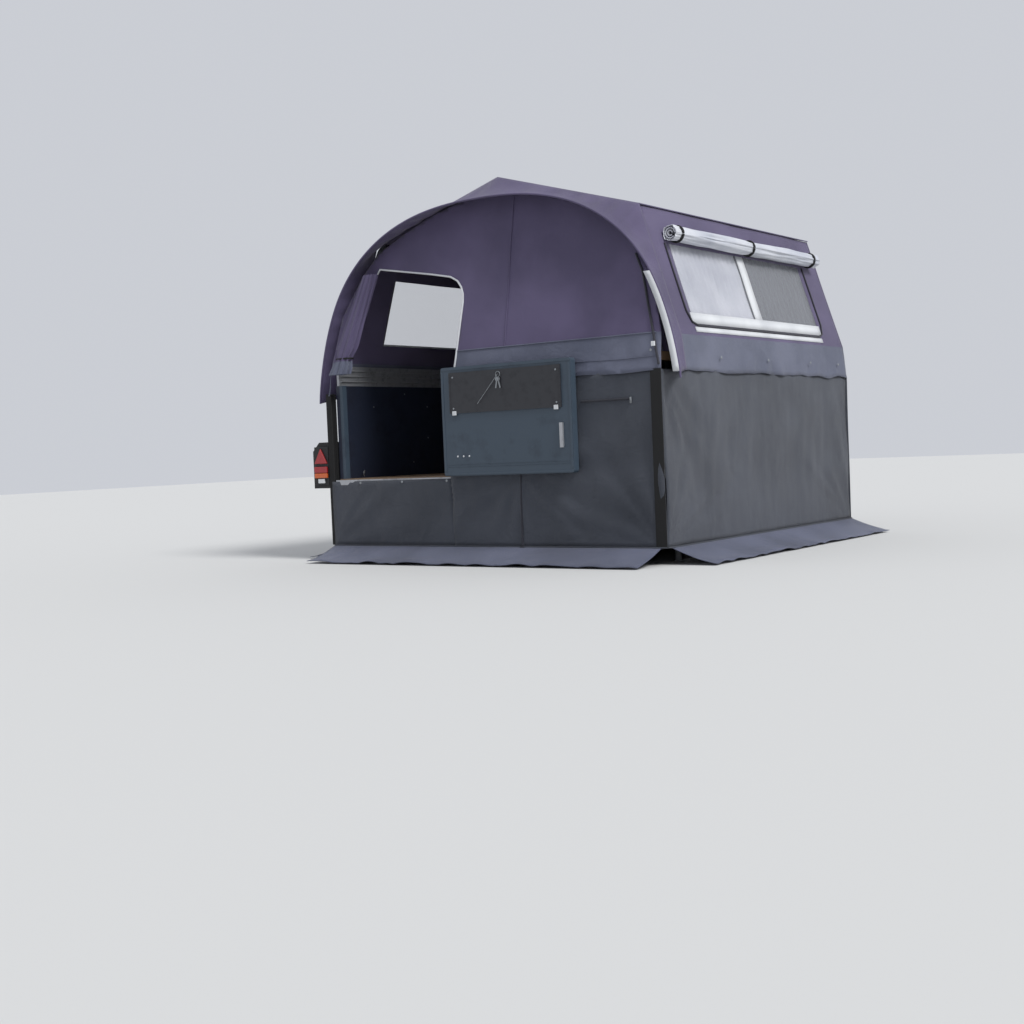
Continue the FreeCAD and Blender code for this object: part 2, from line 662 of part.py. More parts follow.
# ---------------------------------------------------------------- rear door
door_block = box("door_block", "door_x0", "door_x1", "door_y0", "door_y1", "door_low", "door_high")
door_round = doc.addObject("Part::Fillet", "door_round")
doc.recompute()
door_round.Base = door_block
upright = []
for index, edge in enumerate(door_block.Shape.Edges, start=1):
    direction = edge.Vertexes[1].Point - edge.Vertexes[0].Point
    if abs(direction.y) > max(abs(direction.x), abs(direction.z)):
        upright.append((index, value("door_corner"), value("door_corner")))
door_round.Edges = upright
board_high = "door_high - door_board_inset/2"
board_low = board_high + " - door_board_height"
board_room = ("door_x0 + door_board_inset", "door_x1 - door_board_inset")
handle_x = "door_x1 - handle_inset"

knuckle_length = "knuckle_length"
hinge_bases = ("door_low + hinge_low", "door_high - hinge_low - 2*knuckle_length")
door_knuckles = []
frame_hinges = []
for index, base in enumerate(hinge_bases, start=1):
    upper = base + " + knuckle_length"
    sleeve = rod("door_sleeve_%d" % index, "z", ("pin_line", "pin_depth", upper + " + fit_gap"),
                 "knuckle_radius", "knuckle_length - fit_gap")
    tab = box("door_tab_%d" % index, "pin_line", "door_x0 + 4*knuckle_radius",
              "door_y1", "door_y1 + leaf", upper + " + fit_gap", upper + " + knuckle_length")
    bore = rod("door_bore_%d" % index, "z", ("pin_line", "pin_depth", base),
               "hinge_pin_radius + fit_gap/2", "3*knuckle_length")
    door_knuckles.append(cut("door_knuckle_%d" % index,
                             fuse("door_knuckle_raw_%d" % index, [sleeve, tab]), bore))
    barrel = rod("frame_barrel_%d" % index, "z", ("pin_line", "pin_depth", base),
                 "knuckle_radius", "knuckle_length")
    pin = rod("frame_pin_%d" % index, "z", ("pin_line", "pin_depth", base), "hinge_pin_radius",
              "2*knuckle_length")
    web = box("frame_web_%d" % index, "pin_line", "pin_line + leaf", "pin_depth", "box_y0", base,
              upper)
    frame_hinges.append(fuse("frame_hinge_%d" % index, [barrel, pin, web]))
node("door_knuckles", group("door_knuckle_pair", door_knuckles))
node("frame_hinges", group("frame_hinge_pair", frame_hinges))
node("rear_door", door_round)
node("door_board", box("door_board_sheet", board_room[0], board_room[1],
                       "door_y0 - door_board_thickness", "door_y0", board_low, board_high))
node("door_handle", box("door_lock_lever", handle_x + " - handle_width/2",
                        handle_x + " + handle_width/2", "door_y0 - handle_thickness", "door_y0",
                        "door_low + handle_low", "door_low + handle_low + handle_height"))

# ---------------------------------------------------------------- chassis
rails = []
for side, sign in (("left", "-1"), ("right", "1")):
    centre = "(box_mid + %s*rail_offset)" % sign
    rails.append(box("rail_" + side, centre + " - rail_width/2", centre + " + rail_width/2",
                     "box_y0", "box_y1", "rail_low", "floor_low"))
node("chassis_rails", group("chassis_rail_pair", rails))
members = []
for name, place in (("rear", "box_y0"), ("middle", "axle_y - 2*arm_trail"),
                    ("front", "box_y1 - cross_width")):
    members.append(box("member_" + name, "box_mid - rail_offset + rail_width/2",
                       "box_mid + rail_offset - rail_width/2", place, place + " + cross_width",
                       "rail_low", "floor_low"))
node("cross_members", group("cross_member_set", members))
arms = []
for side, sign in (("left", "-1"), ("right", "1")):
    arms.append(prism("drawbar_arm_" + side, "z", [
        ("box_mid + %s*(arm_root_offset - arm_width/2)" % sign, "arm_root_y"),
        ("box_mid + %s*(arm_root_offset + arm_width/2)" % sign, "arm_root_y"),
        ("box_mid + %s*(arm_tip_offset + arm_width/2)" % sign, "arm_tip_y"),
        ("box_mid + %s*(arm_tip_offset - arm_width/2)" % sign, "arm_tip_y"),
    ], "arm_low", "arm_height"))
node("drawbar_arms", group("drawbar_arm_pair", arms))
plate_half = "(arm_tip_offset + arm_width/2)"
node("coupling_plate", box("coupling_seat", "box_mid - " + plate_half, "box_mid + " + plate_half,
                           "arm_tip_y - coupling_plate_length", "arm_tip_y", "arm_high",
                           "plate_high"))
shank = box("coupling_shank", "box_mid - coupling_width/2", "box_mid + coupling_width/2",
            "ball_y - coupling_length", "ball_y", "plate_high", "plate_high + coupling_height")
head = rod("coupling_nose", "z", ("box_mid", "ball_y", "plate_high"), "head_radius",
           "coupling_height")
socket = rod("coupling_socket", "z", ("box_mid", "ball_y", "plate_high - coupling_height"),
             "ball_radius", "coupling_height + socket_depth")
node("coupling_head", cut("coupling_shell", fuse("coupling_body", [shank, head]), socket))
node("coupling_lever", box("coupling_grip", "box_mid - lever_width/2", "box_mid + lever_width/2",
                           "ball_y - lever_length", "ball_y", "plate_high + coupling_height",
                           "plate_high + coupling_height + lever_thickness"))

# ---------------------------------------------------------------- axle, wheels, mudguards
node("axle_beam", box("axle_tube", "box_x0 + swing_arm", "box_x1 - swing_arm",
                      "beam_y - axle_size/2", "beam_y + axle_size/2", "beam_low", "beam_high"))
swing_arms = []
guards = []
for side, sign, centre, inner in (("left", -1, "wheel_left_x", "box_x0"),
                                  ("right", 1, "wheel_right_x", "box_x1")):
    arm_start = inner if sign < 0 else inner + " - swing_arm"
    arm_end = inner + " + swing_arm" if sign < 0 else inner
    profile = prism("swing_plate_" + side, "x", [
        ("axle_y - 2*stub_radius", "tyre_radius + stub_radius"),
        ("axle_y - 2*stub_radius", "tyre_radius - stub_radius"),
        ("axle_y + stub_radius", "tyre_radius - 2*stub_radius"),
        ("beam_y + axle_size/2", "beam_low"),
        ("beam_y + axle_size/2", "beam_high - seat_gap"),
        ("beam_y - axle_size/2", "beam_high - seat_gap"),
    ], arm_start, "swing_arm")
    stub_length = "wheel_gap + tyre_width"
    stub_start = "(%s) - (%s)" % (inner, stub_length) if sign < 0 else inner
    stub = rod("stub_axle_" + side, "x", (stub_start, "axle_y", "tyre_radius"), "stub_radius",
               stub_length)
    swing_arms.append(fuse("swing_arm_" + side, [profile, stub]))

    start = "(%s) - tyre_width/2" % centre
    tyre_block = rod("tyre_block_" + side, "x", (start, "axle_y", "tyre_radius"), "tyre_radius",
                     "tyre_width")
    tyre_hole = rod("tyre_hole_" + side, "x", ("(%s) - 10" % start, "axle_y", "tyre_radius"),
                    "rim_radius + seat_gap", "tyre_width + 20")
    tyre_ring = cut("tyre_ring_" + side, tyre_block, tyre_hole)
    doc.recompute()
    tyre = doc.addObject("Part::Fillet", "tyre_round_" + side)
    tyre.Base = tyre_ring
    outer_edges = []
    for index, edge in enumerate(tyre_ring.Shape.Edges, start=1):
        if abs(edge.BoundBox.ZLength - value("2*tyre_radius")) < 1:
            outer_edges.append((index, 28, 28))
    tyre.Edges = outer_edges
    node("tyre_" + side, tyre)

    barrel = rod("rim_barrel_" + side, "x", (start, "axle_y", "tyre_radius"), "rim_radius",
                 "tyre_width")
    hollow = rod("rim_hollow_" + side, "x", ("(%s) - 10" % start, "axle_y", "tyre_radius"),
                 "rim_radius - rim_wall", "tyre_width + 20")
    disc = rod("rim_disc_" + side, "x", ("(%s) - disc_thickness/2" % centre, "axle_y",
                                         "tyre_radius"), "rim_radius - rim_wall/2",
               "disc_thickness")
    hub = rod("rim_hub_" + side, "x", ("(%s) - tyre_width/3" % centre, "axle_y", "tyre_radius"),
              "hub_radius", "2*tyre_width/3")
    hub_bore = rod("rim_bore_" + side, "x", (start, "axle_y", "tyre_radius"),
                   "stub_radius + fit_gap", "tyre_width")
    rim_raw = fuse("rim_raw_" + side, [cut("rim_ring_" + side, barrel, hollow), disc, hub])
    node("rim_" + side, cut("rim_cut_" + side, rim_raw, hub_bore))

    guard_span = "wheel_gap + tyre_width + mudguard_overhang"
    guard_start = "(%s) - (%s)" % (inner, guard_span) if sign < 0 else inner
    guard_radius = "tyre_radius + mudguard_gap"
    outside = rod("guard_outer_" + side, "x", (guard_start, "axle_y", "tyre_radius"),
                  guard_radius + " + mudguard_wall", guard_span)
    inside = rod("guard_inner_" + side, "x", ("(%s) - 10" % guard_start, "axle_y",
                                              "tyre_radius"), guard_radius,
                 guard_span + " + 20")
    room = box("guard_room_" + side, guard_start, "(%s) + (%s)" % (guard_start, guard_span),
               "axle_y - 2*tyre_radius", "axle_y + 2*tyre_radius",
               "tyre_radius + mudguard_foot", "3*tyre_radius")
    guards.append(common("guard_" + side, cut("guard_ring_" + side, outside, inside), room))
node("swing_arms", group("swing_arm_pair", swing_arms))
node("mudguards", group("mudguard_pair", guards))

# ---------------------------------------------------------------- lamps
brackets = []
lamps = []
for side, sign, inner in (("left", -1, "box_x0"), ("right", 1, "box_x1")):
    bracket_high = "bracket_low + bracket_height"
    corners = [
        ("(%s) + %d*seat_gap" % (inner, sign), "bracket_low"),
        ("(%s) + %d*bracket_width" % (inner, sign), "bracket_low"),
        ("(%s) + %d*bracket_width" % (inner, sign), bracket_high + " - bracket_bevel"),
        ("(%s) + %d*(bracket_width - bracket_bevel)" % (inner, sign), bracket_high),
        ("(%s) + %d*seat_gap" % (inner, sign), bracket_high),
    ]
    brackets.append(prism("bracket_" + side, "y", corners, "rear + bracket_place",
                          "bracket_thickness"))
    outer = "(%s) + %d*(bracket_width - lamp_inset)" % (inner, sign)
    lamp_x0 = outer if sign < 0 else outer + " - lamp_width"
    lamps.append(box("lamp_" + side, lamp_x0, lamp_x0 + " + lamp_width",
                     "rear + bracket_place - lamp_depth", "rear + bracket_place",
                     "bracket_low + lamp_low", "bracket_low + lamp_low + lamp_height"))
node("lamp_brackets", group("lamp_bracket_pair", brackets))
node("tail_lamps", group("tail_lamp_pair", lamps))

# ---------------------------------------------------------------- jockey wheel
clamp_half = "(jockey_tube_radius + clamp_wall)"
clamp_block = box("clamp_block", "box_mid + arm_edge - arm_width", "jockey_x + " + clamp_half,
                  "jockey_y - " + clamp_half, "jockey_y + " + clamp_half, "arm_high",
                  "arm_high + clamp_height")
clamp_hole = rod("clamp_hole", "z", ("jockey_x", "jockey_y", "arm_high - clamp_height"),
                 "jockey_tube_radius + seat_gap", "3*clamp_height")
node("jockey_clamp", cut("clamp_cut", clamp_block, clamp_hole))
jockey_tube = rod("jockey_sleeve", "z", ("jockey_x", "jockey_y", "jockey_tube_low"),
                  "jockey_tube_radius", "jockey_tube_high - jockey_tube_low")
crank = box("jockey_crank", "jockey_x - crank_height/2", "jockey_x + crank_length",
            "jockey_y - crank_height/2", "jockey_y + crank_height/2", "jockey_tube_high",
            "jockey_tube_high + crank_height")
node("jockey_tube", fuse("jockey_tube_body", [jockey_tube, crank]))
wheel_y = "jockey_y - jockey_trail"
fork_block = box("fork_block", "jockey_x - fork_half", "jockey_x + fork_half",
                 "%s - jockey_stem_radius" % wheel_y, "jockey_y + jockey_stem_radius",
                 "jockey_radius - 2*jockey_pin_radius", "fork_high")
fork_room = box("fork_room", "jockey_x - fork_half + jockey_fork_wall",
                "jockey_x + fork_half - jockey_fork_wall", "%s - 2*jockey_radius" % wheel_y,
                "jockey_y + 2*jockey_radius", "0", "fork_high - jockey_fork_wall")
stem = rod("jockey_stem_rod", "z", ("jockey_x", "jockey_y", "fork_high - jockey_fork_wall"),
           "jockey_stem_radius", "jockey_tube_low - seat_gap - fork_high + jockey_fork_wall")
jockey_pin = rod("jockey_pin", "x", ("jockey_x - fork_half", wheel_y, "jockey_radius"),
                 "jockey_pin_radius", "2*fork_half")
node("jockey_fork", fuse("jockey_fork_body", [cut("fork_cut", fork_block, fork_room), stem,
                                              jockey_pin]))
jockey_disc = rod("jockey_disc", "x", ("jockey_x - jockey_width/2", wheel_y, "jockey_radius"),
                  "jockey_radius", "jockey_width")
jockey_bore = rod("jockey_bore", "x", ("jockey_x - jockey_width", wheel_y, "jockey_radius"),
                  "jockey_pin_radius + fit_gap", "2*jockey_width")
node("jockey_wheel", cut("jockey_wheel_cut", jockey_disc, jockey_bore))

# ---------------------------------------------------------------- check and write
doc.recompute()
faults = [thing.Name for thing in doc.Objects if {"Invalid", "Error"} & set(thing.State)]
faults += [thing.Label for thing in nodes if thing.Shape.isNull() or not thing.Shape.isValid()]
if faults:
    raise RuntimeError("not built: " + ", ".join(faults))
os.makedirs("parts", exist_ok=True)
for thing in nodes:
    thing.Shape.exportStep("parts/%s.step" % thing.Label)
print(len(nodes), "nodes")
whole = FreeCAD.BoundBox()
for thing in nodes:
    whole.add(thing.Shape.BoundBox)
print(whole)
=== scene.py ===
import math
import bmesh
import bpy
from mathutils import Matrix, Vector, noise


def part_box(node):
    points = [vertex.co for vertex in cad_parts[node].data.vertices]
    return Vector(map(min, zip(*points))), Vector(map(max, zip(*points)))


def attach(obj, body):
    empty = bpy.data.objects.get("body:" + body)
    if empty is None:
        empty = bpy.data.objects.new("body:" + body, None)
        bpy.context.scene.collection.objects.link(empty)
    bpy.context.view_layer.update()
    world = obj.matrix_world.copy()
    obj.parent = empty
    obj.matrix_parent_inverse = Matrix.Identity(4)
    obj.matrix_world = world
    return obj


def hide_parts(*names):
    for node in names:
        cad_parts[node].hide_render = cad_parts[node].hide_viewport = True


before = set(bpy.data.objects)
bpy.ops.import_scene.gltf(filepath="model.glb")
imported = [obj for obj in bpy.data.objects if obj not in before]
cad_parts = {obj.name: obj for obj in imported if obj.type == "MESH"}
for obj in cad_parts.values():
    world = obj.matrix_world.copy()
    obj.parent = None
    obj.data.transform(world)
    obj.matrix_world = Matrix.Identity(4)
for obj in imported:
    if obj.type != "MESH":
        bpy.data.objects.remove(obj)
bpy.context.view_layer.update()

# places read from the frame, in metres
sideLow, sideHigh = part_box("side_canvas_right")
roofLow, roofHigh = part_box("roof_right")
tent = {
    "half": sideHigh[0], "hem": sideLow[2], "shoulderZ": sideHigh[2], "shoulderX": roofHigh[0] - 0.008,
    "ridge": roofHigh[2] - 0.008, "rear": sideLow[1], "front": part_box("front_canvas")[1][1],
    "roofRear": roofLow[1], "seam": sideLow[2] + 0.205, "seamX": sideHigh[0] - 0.025,
    "stitch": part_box("skirt_right")[0][2], "lean": 0.23 / 1.275, "cloth": 0.003,
}
tent["run"] = tent["front"] - tent["rear"]


# ---- materials
def srgb(red, green, blue):
    return tuple((c / 255 / 12.92) if c < 11 else ((c / 255 + 0.055) / 1.055) ** 2.4
                 for c in (red, green, blue)) + (1.0,)


def nodeGroup(name, inputs, outputs):
    group = bpy.data.node_groups.new(name, "ShaderNodeTree")
    for label, kind, start in inputs:
        socket = group.interface.new_socket(name=label, in_out="INPUT", socket_type=kind)
        socket.default_value = start
    for label, kind in outputs:
        group.interface.new_socket(name=label, in_out="OUTPUT", socket_type=kind)
    return group, group.nodes.new("NodeGroupInput"), group.nodes.new("NodeGroupOutput")


def makeClothFinish():
    # colour variation and a height of weave and creases
    group, source, result = nodeGroup("clothFinish", [
        ("Base", "NodeSocketColor", (0.5, 0.5, 0.5, 1)),
        ("Dark", "NodeSocketColor", (0.3, 0.3, 0.3, 1)),
        ("Weave", "NodeSocketFloat", 900.0), ("Crease", "NodeSocketFloat", 6.0)],
        [("Color", "NodeSocketColor"), ("Height", "NodeSocketFloat")])
    make, link = group.nodes.new, group.links.new
    place = make("ShaderNodeTexCoord")
    patches = make("ShaderNodeTexNoise")
    patches.inputs["Scale"].default_value = 2.2
    patches.inputs["Detail"].default_value = 7
    creases = make("ShaderNodeTexNoise")
    creases.inputs["Detail"].default_value = 5
    creases.inputs["Distortion"].default_value = 0.8
    weave = make("ShaderNodeTexVoronoi")
    for texture in (patches, creases, weave):
        link(place.outputs["Object"], texture.inputs["Vector"])
    link(source.outputs["Crease"], creases.inputs["Scale"])
    link(source.outputs["Weave"], weave.inputs["Scale"])
    ramp = make("ShaderNodeMapRange")
    ramp.inputs["From Min"].default_value = 0.38
    ramp.inputs["From Max"].default_value = 0.62
    link(patches.outputs["Fac"], ramp.inputs["Value"])
    mix = make("ShaderNodeMix")
    mix.data_type = "RGBA"
    link(ramp.outputs["Result"], mix.inputs["Factor"])
    link(source.outputs["Dark"], mix.inputs["A"])
    link(source.outputs["Base"], mix.inputs["B"])
    link(mix.outputs["Result"], result.inputs["Color"])
    fine = make("ShaderNodeMath")
    fine.operation = "MULTIPLY"
    fine.inputs[1].default_value = 0.12
    link(weave.outputs["Distance"], fine.inputs[0])
    total = make("ShaderNodeMath")
    link(creases.outputs["Fac"], total.inputs[0])
    link(fine.outputs["Value"], total.inputs[1])
    link(total.outputs["Value"], result.inputs["Height"])
    return group


def makeHardFinish():
    # grain, scuffs and grime for metal, board and plastic
    group, source, result = nodeGroup("hardFinish", [
        ("Base", "NodeSocketColor", (0.5, 0.5, 0.5, 1)),
        ("Worn", "NodeSocketColor", (0.3, 0.3, 0.3, 1)),
        ("Grain", "NodeSocketFloat", 14.0)],
        [("Color", "NodeSocketColor"), ("Roughness", "NodeSocketFloat"), ("Height", "NodeSocketFloat")])
    make, link = group.nodes.new, group.links.new
    place = make("ShaderNodeTexCoord")
    scuff = make("ShaderNodeTexNoise")
    scuff.inputs["Detail"].default_value = 9
    scuff.inputs["Roughness"].default_value = 0.65
    link(place.outputs["Object"], scuff.inputs["Vector"])
    link(source.outputs["Grain"], scuff.inputs["Scale"])
    mask = make("ShaderNodeMapRange")
    mask.inputs["From Min"].default_value = 0.52
    mask.inputs["From Max"].default_value = 0.72
    link(scuff.outputs["Fac"], mask.inputs["Value"])
    mix = make("ShaderNodeMix")
    mix.data_type = "RGBA"
    link(mask.outputs["Result"], mix.inputs["Factor"])
    link(source.outputs["Base"], mix.inputs["A"])
    link(source.outputs["Worn"], mix.inputs["B"])
    link(mix.outputs["Result"], result.inputs["Color"])
    rough = make("ShaderNodeMapRange")
    rough.inputs["To Min"].default_value = 0.32
    rough.inputs["To Max"].default_value = 0.68
    link(scuff.outputs["Fac"], rough.inputs["Value"])
    link(rough.outputs["Result"], result.inputs["Roughness"])
    link(scuff.outputs["Fac"], result.inputs["Height"])
    return group


clothFinish = makeClothFinish()
hardFinish = makeHardFinish()


def cloth(name, base, dark, crease=6.0, bump=0.25, roughness=0.72, sheen=0.15, alpha=1.0):
    material = bpy.data.materials.new(name)
    material.use_nodes = True
    nodes, link = material.node_tree.nodes, material.node_tree.links.new
    shader = nodes["Principled BSDF"]
    finish = nodes.new("ShaderNodeGroup")
    finish.node_tree = clothFinish
    finish.inputs["Base"].default_value = base
    finish.inputs["Dark"].default_value = dark
    finish.inputs["Crease"].default_value = crease
    relief = nodes.new("ShaderNodeBump")
    relief.inputs["Strength"].default_value = bump
    relief.inputs["Distance"].default_value = 0.02
    link(finish.outputs["Color"], shader.inputs["Base Color"])
    link(finish.outputs["Height"], relief.inputs["Height"])
    link(relief.outputs["Normal"], shader.inputs["Normal"])
    shader.inputs["Roughness"].default_value = roughness
    shader.inputs["Sheen Weight"].default_value = sheen
    shader.inputs["Alpha"].default_value = alpha
    return material


def hard(name, base, worn, metallic=0.0, grain=14.0, bump=0.08, coat=0.0):
    material = bpy.data.materials.new(name)
    material.use_nodes = True
    nodes, link = material.node_tree.nodes, material.node_tree.links.new
    shader = nodes["Principled BSDF"]
    finish = nodes.new("ShaderNodeGroup")
    finish.node_tree = hardFinish
    finish.inputs["Base"].default_value = base
    finish.inputs["Worn"].default_value = worn
    finish.inputs["Grain"].default_value = grain
    relief = nodes.new("ShaderNodeBump")
    relief.inputs["Strength"].default_value = bump
    relief.inputs["Distance"].default_value = 0.002
    link(finish.outputs["Color"], shader.inputs["Base Color"])
    link(finish.outputs["Roughness"], shader.inputs["Roughness"])
    link(finish.outputs["Height"], relief.inputs["Height"])
    link(relief.outputs["Normal"], shader.inputs["Normal"])
    shader.inputs["Metallic"].default_value = metallic
    shader.inputs["Coat Weight"].default_value = coat
    return material


mats = {
    "purple": cloth("purpleCanvas", srgb(88, 79, 111), srgb(74, 66, 96), crease=5, bump=0.4),
    "greyBand": cloth("greyBand", srgb(97, 101, 120), srgb(80, 85, 104), crease=9, bump=0.6),
    "skirt": cloth("skirtSheet", srgb(60, 65, 76), srgb(47, 52, 63), crease=7, bump=0.7,
                   roughness=0.55),
    "flap": cloth("flapSheet", srgb(92, 97, 120), srgb(72, 77, 98), crease=10, bump=0.7,
                  roughness=0.5),
    "webbing": cloth("blackWebbing", srgb(11, 11, 12), srgb(7, 7, 8), crease=30, bump=0.2, sheen=0),
    "piping": cloth("whitePiping", srgb(214, 216, 218), srgb(190, 192, 196), crease=20, bump=0.1),
    "blind": cloth("silverBlind", srgb(214, 216, 222), srgb(186, 190, 200), crease=14, bump=0.45,
                   roughness=0.45),
    "zip": cloth("zipTape", srgb(40, 40, 50), srgb(28, 28, 36), crease=60, bump=0.2),
    "sheer": cloth("paleCurtain", srgb(188, 188, 196), srgb(160, 161, 172), crease=12, bump=0.3),
    # flat dark colour for the sheet behind the right pane: painted shade standing in for the unlit
    # inside seen through that pane
    "shadeBehindPane": cloth("paintedShadeSheet", srgb(52, 52, 62), srgb(38, 38, 48), crease=12, bump=0.3),
    "panel": hard("bluePanel", srgb(60, 73, 86), srgb(48, 58, 70), grain=5, bump=0.05),
    "innerPanel": hard("navyPanel", srgb(34, 40, 56), srgb(26, 30, 44), grain=6, bump=0.05),
    "board": hard("blackBoard", srgb(44, 45, 50), srgb(34, 35, 40), grain=20),
    "plywood": hard("plywood", srgb(132, 108, 84), srgb(96, 76, 58), grain=9, bump=0.15),
    "alloy": hard("alloyTrim", srgb(176, 178, 182), srgb(140, 142, 146), metallic=0.7, grain=30),
    "steel": hard("zincSteel", srgb(150, 154, 158), srgb(112, 112, 112), metallic=0.8, grain=22),
    "black": hard("blackSteel", srgb(24, 24, 27), srgb(44, 42, 40), grain=18),
    "rubber": hard("tyreRubber", srgb(28, 28, 29), srgb(52, 50, 48), grain=26, bump=0.3),
    "wheel": hard("wheelPaint", srgb(192, 194, 196), srgb(140, 138, 134), metallic=0.35, grain=12),
    "red": hard("redLens", srgb(160, 16, 24), srgb(128, 10, 18), grain=40, coat=0.8),
    "amber": hard("amberLens", srgb(206, 92, 18), srgb(180, 70, 12), grain=40, coat=0.8),
    "clear": hard("clearLens", srgb(222, 224, 226), srgb(196, 198, 202), grain=40, coat=0.8),
}
film = bpy.data.materials.new("windowFilm")
film.use_nodes = True
filmShader = film.node_tree.nodes["Principled BSDF"]
filmShader.inputs["Base Color"].default_value = srgb(226, 230, 236)
filmShader.inputs["Roughness"].default_value = 0.12
filmShader.inputs["Alpha"].default_value = 0.12
filmRipple = film.node_tree.nodes.new("ShaderNodeTexNoise")
filmBump = film.node_tree.nodes.new("ShaderNodeBump")
filmBump.inputs["Distance"].default_value = 0.01
filmBump.inputs["Strength"].default_value = 0.3
film.node_tree.links.new(filmRipple.outputs["Fac"], filmBump.inputs["Height"])
film.node_tree.links.new(filmBump.outputs["Normal"], filmShader.inputs["Normal"])
mats["film"] = film
print("materials ready")


# ---- making pieces
def finishMesh(name, shape, materials, body="trailer", smooth=True, thickness=0.0, bevel=0.0):
    mesh = bpy.data.meshes.new(name)
    shape.to_mesh(mesh)
    shape.free()
    for key in materials:
        mesh.materials.append(mats[key])
    mesh.polygons.foreach_set("use_smooth", [smooth] * len(mesh.polygons))
    piece = bpy.data.objects.new(name, mesh)
    bpy.context.collection.objects.link(piece)
    if thickness:
        wall = piece.modifiers.new("wall", "SOLIDIFY")
        wall.thickness = thickness
        wall.offset = 0
    if bevel:
        edge = piece.modifiers.new("edge", "BEVEL")
        edge.width = bevel
        edge.segments = 2
        edge.limit_method = "ANGLE"
    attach(piece, body)
    return piece


def inside(point, corners):
    turns = []
    for (ax, ay), (bx, by) in zip(corners, corners[1:] + corners[:1]):
        turns.append((bx - ax) * (point[1] - ay) - (by - ay) * (point[0] - ax))
    return all(t > -1e-7 for t in turns)


def slice2d(shape, a, b, clear):
    outward = Vector((b[1] - a[1], a[0] - b[0], 0))
    everything = shape.verts[:] + shape.edges[:] + shape.faces[:]
    bmesh.ops.bisect_plane(shape, geom=everything, plane_co=Vector((a[0], a[1], 0)), dist=1e-5,
                           plane_no=outward.normalized(), clear_outer=clear, clear_inner=False)


def clothSheet(name, outline, place, materials, nodes=(), holes=(), lines=(), pick=None, cell=0.03,
               body="trailer"):
    # a flat sheet cut to its outline, counter-clockwise, then set in place
    lowU, highU = min(p[0] for p in outline), max(p[0] for p in outline)
    lowV, highV = min(p[1] for p in outline), max(p[1] for p in outline)
    shape = bmesh.new()
    bmesh.ops.create_grid(shape, x_segments=max(1, round((highU - lowU) / cell)),
                          y_segments=max(1, round((highV - lowV) / cell)), size=0.5)
    bmesh.ops.scale(shape, vec=(highU - lowU, highV - lowV, 1), verts=shape.verts)
    bmesh.ops.translate(shape, vec=((lowU + highU) / 2, (lowV + highV) / 2, 0), verts=shape.verts)
    for a, b in zip(outline, outline[1:] + outline[:1]):
        slice2d(shape, a, b, True)
    for height in lines:
        slice2d(shape, (lowU, height), (highU, height), False)
    for hole in holes:
        for a, b in zip(hole, hole[1:] + hole[:1]):
            slice2d(shape, a, b, False)
        gone = [f for f in shape.faces if inside(f.calc_center_median(), hole)]
        bmesh.ops.delete(shape, geom=gone, context="FACES")
    if pick:
        for face in shape.faces:
            face.material_index = pick(face.calc_center_median())
    for vert in shape.verts:
        vert.co = Vector(place(vert.co.x, vert.co.y))
    area = sum(face.calc_area() for face in shape.faces)
    piece = finishMesh(name, shape, materials, body, thickness=tent["cloth"])
    # flat and area come from the finished mesh itself, so they can't test its stretch
    if nodes:
        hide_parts(*nodes)
    return piece


def block(name, low, high, key, body="trailer", bevel=0.003):
    shape = bmesh.new()
    bmesh.ops.create_cube(shape, size=1)
    size = [b - a for a, b in zip(low, high)]
    bmesh.ops.scale(shape, vec=size, verts=shape.verts)
    bmesh.ops.translate(shape, vec=[(a + b) / 2 for a, b in zip(low, high)], verts=shape.verts)
    return finishMesh(name, shape, [key], body, smooth=False, bevel=bevel)


def tube(name, points, radius, key, body="trailer"):
    # a round line along points, swept as a curve and kept as a mesh
    line = bpy.data.curves.new(name, "CURVE")
    line.dimensions = "3D"
    line.bevel_depth = radius
    line.bevel_resolution = 3
    line.use_fill_caps = True
    spline = line.splines.new("POLY")
    spline.points.add(len(points) - 1)
    for spot, point in zip(spline.points, points):
        spot.co = (*point, 1)
    carrier = bpy.data.objects.new(name + "Line", line)
    mesh = bpy.data.meshes.new_from_object(carrier)
    bpy.data.objects.remove(carrier)
    mesh.name = name
    mesh.materials.clear()
    mesh.materials.append(mats[key])
    mesh.polygons.foreach_set("use_smooth", [True] * len(mesh.polygons))
    piece = bpy.data.objects.new(name, mesh)
    bpy.context.collection.objects.link(piece)
    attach(piece, body)
    return piece


def ripple(x, y, z, scale, size):
    return size * noise.noise(Vector((x * scale, y * scale, z * scale)))


def spread(a, b, count):
    return [a + (b - a) * i / (count - 1) for i in range(count)]


# ---- walls and roof
def wallX(z):
    if z < tent["seam"]:
        share = (z - tent["hem"]) / (tent["seam"] - tent["hem"])
        return tent["half"] + (tent["seamX"] - tent["half"]) * share
    share = (z - tent["seam"]) / (tent["shoulderZ"] - tent["seam"])
    return tent["seamX"] + (tent["shoulderX"] - tent["seamX"]) * share


def sidePlace(side, proud=0.0, hemDrop=0.0):
    def place(y, z):
        low = max(0, (tent["seam"] - z) / (tent["seam"] - tent["hem"]))
        fold = ripple(y, z, side, 9, 0.022) * low + ripple(y, z, side, 3, 0.008)
        scallop = (0.004 * math.sin(y * 9) + ripple(y, 0, side, 6, 0.012)) * low
        across = wallX(z) - 0.004 + proud + fold * 0.6 + low * 0.006
        return (side * across, y, z + scallop - hemDrop * low)
    return place


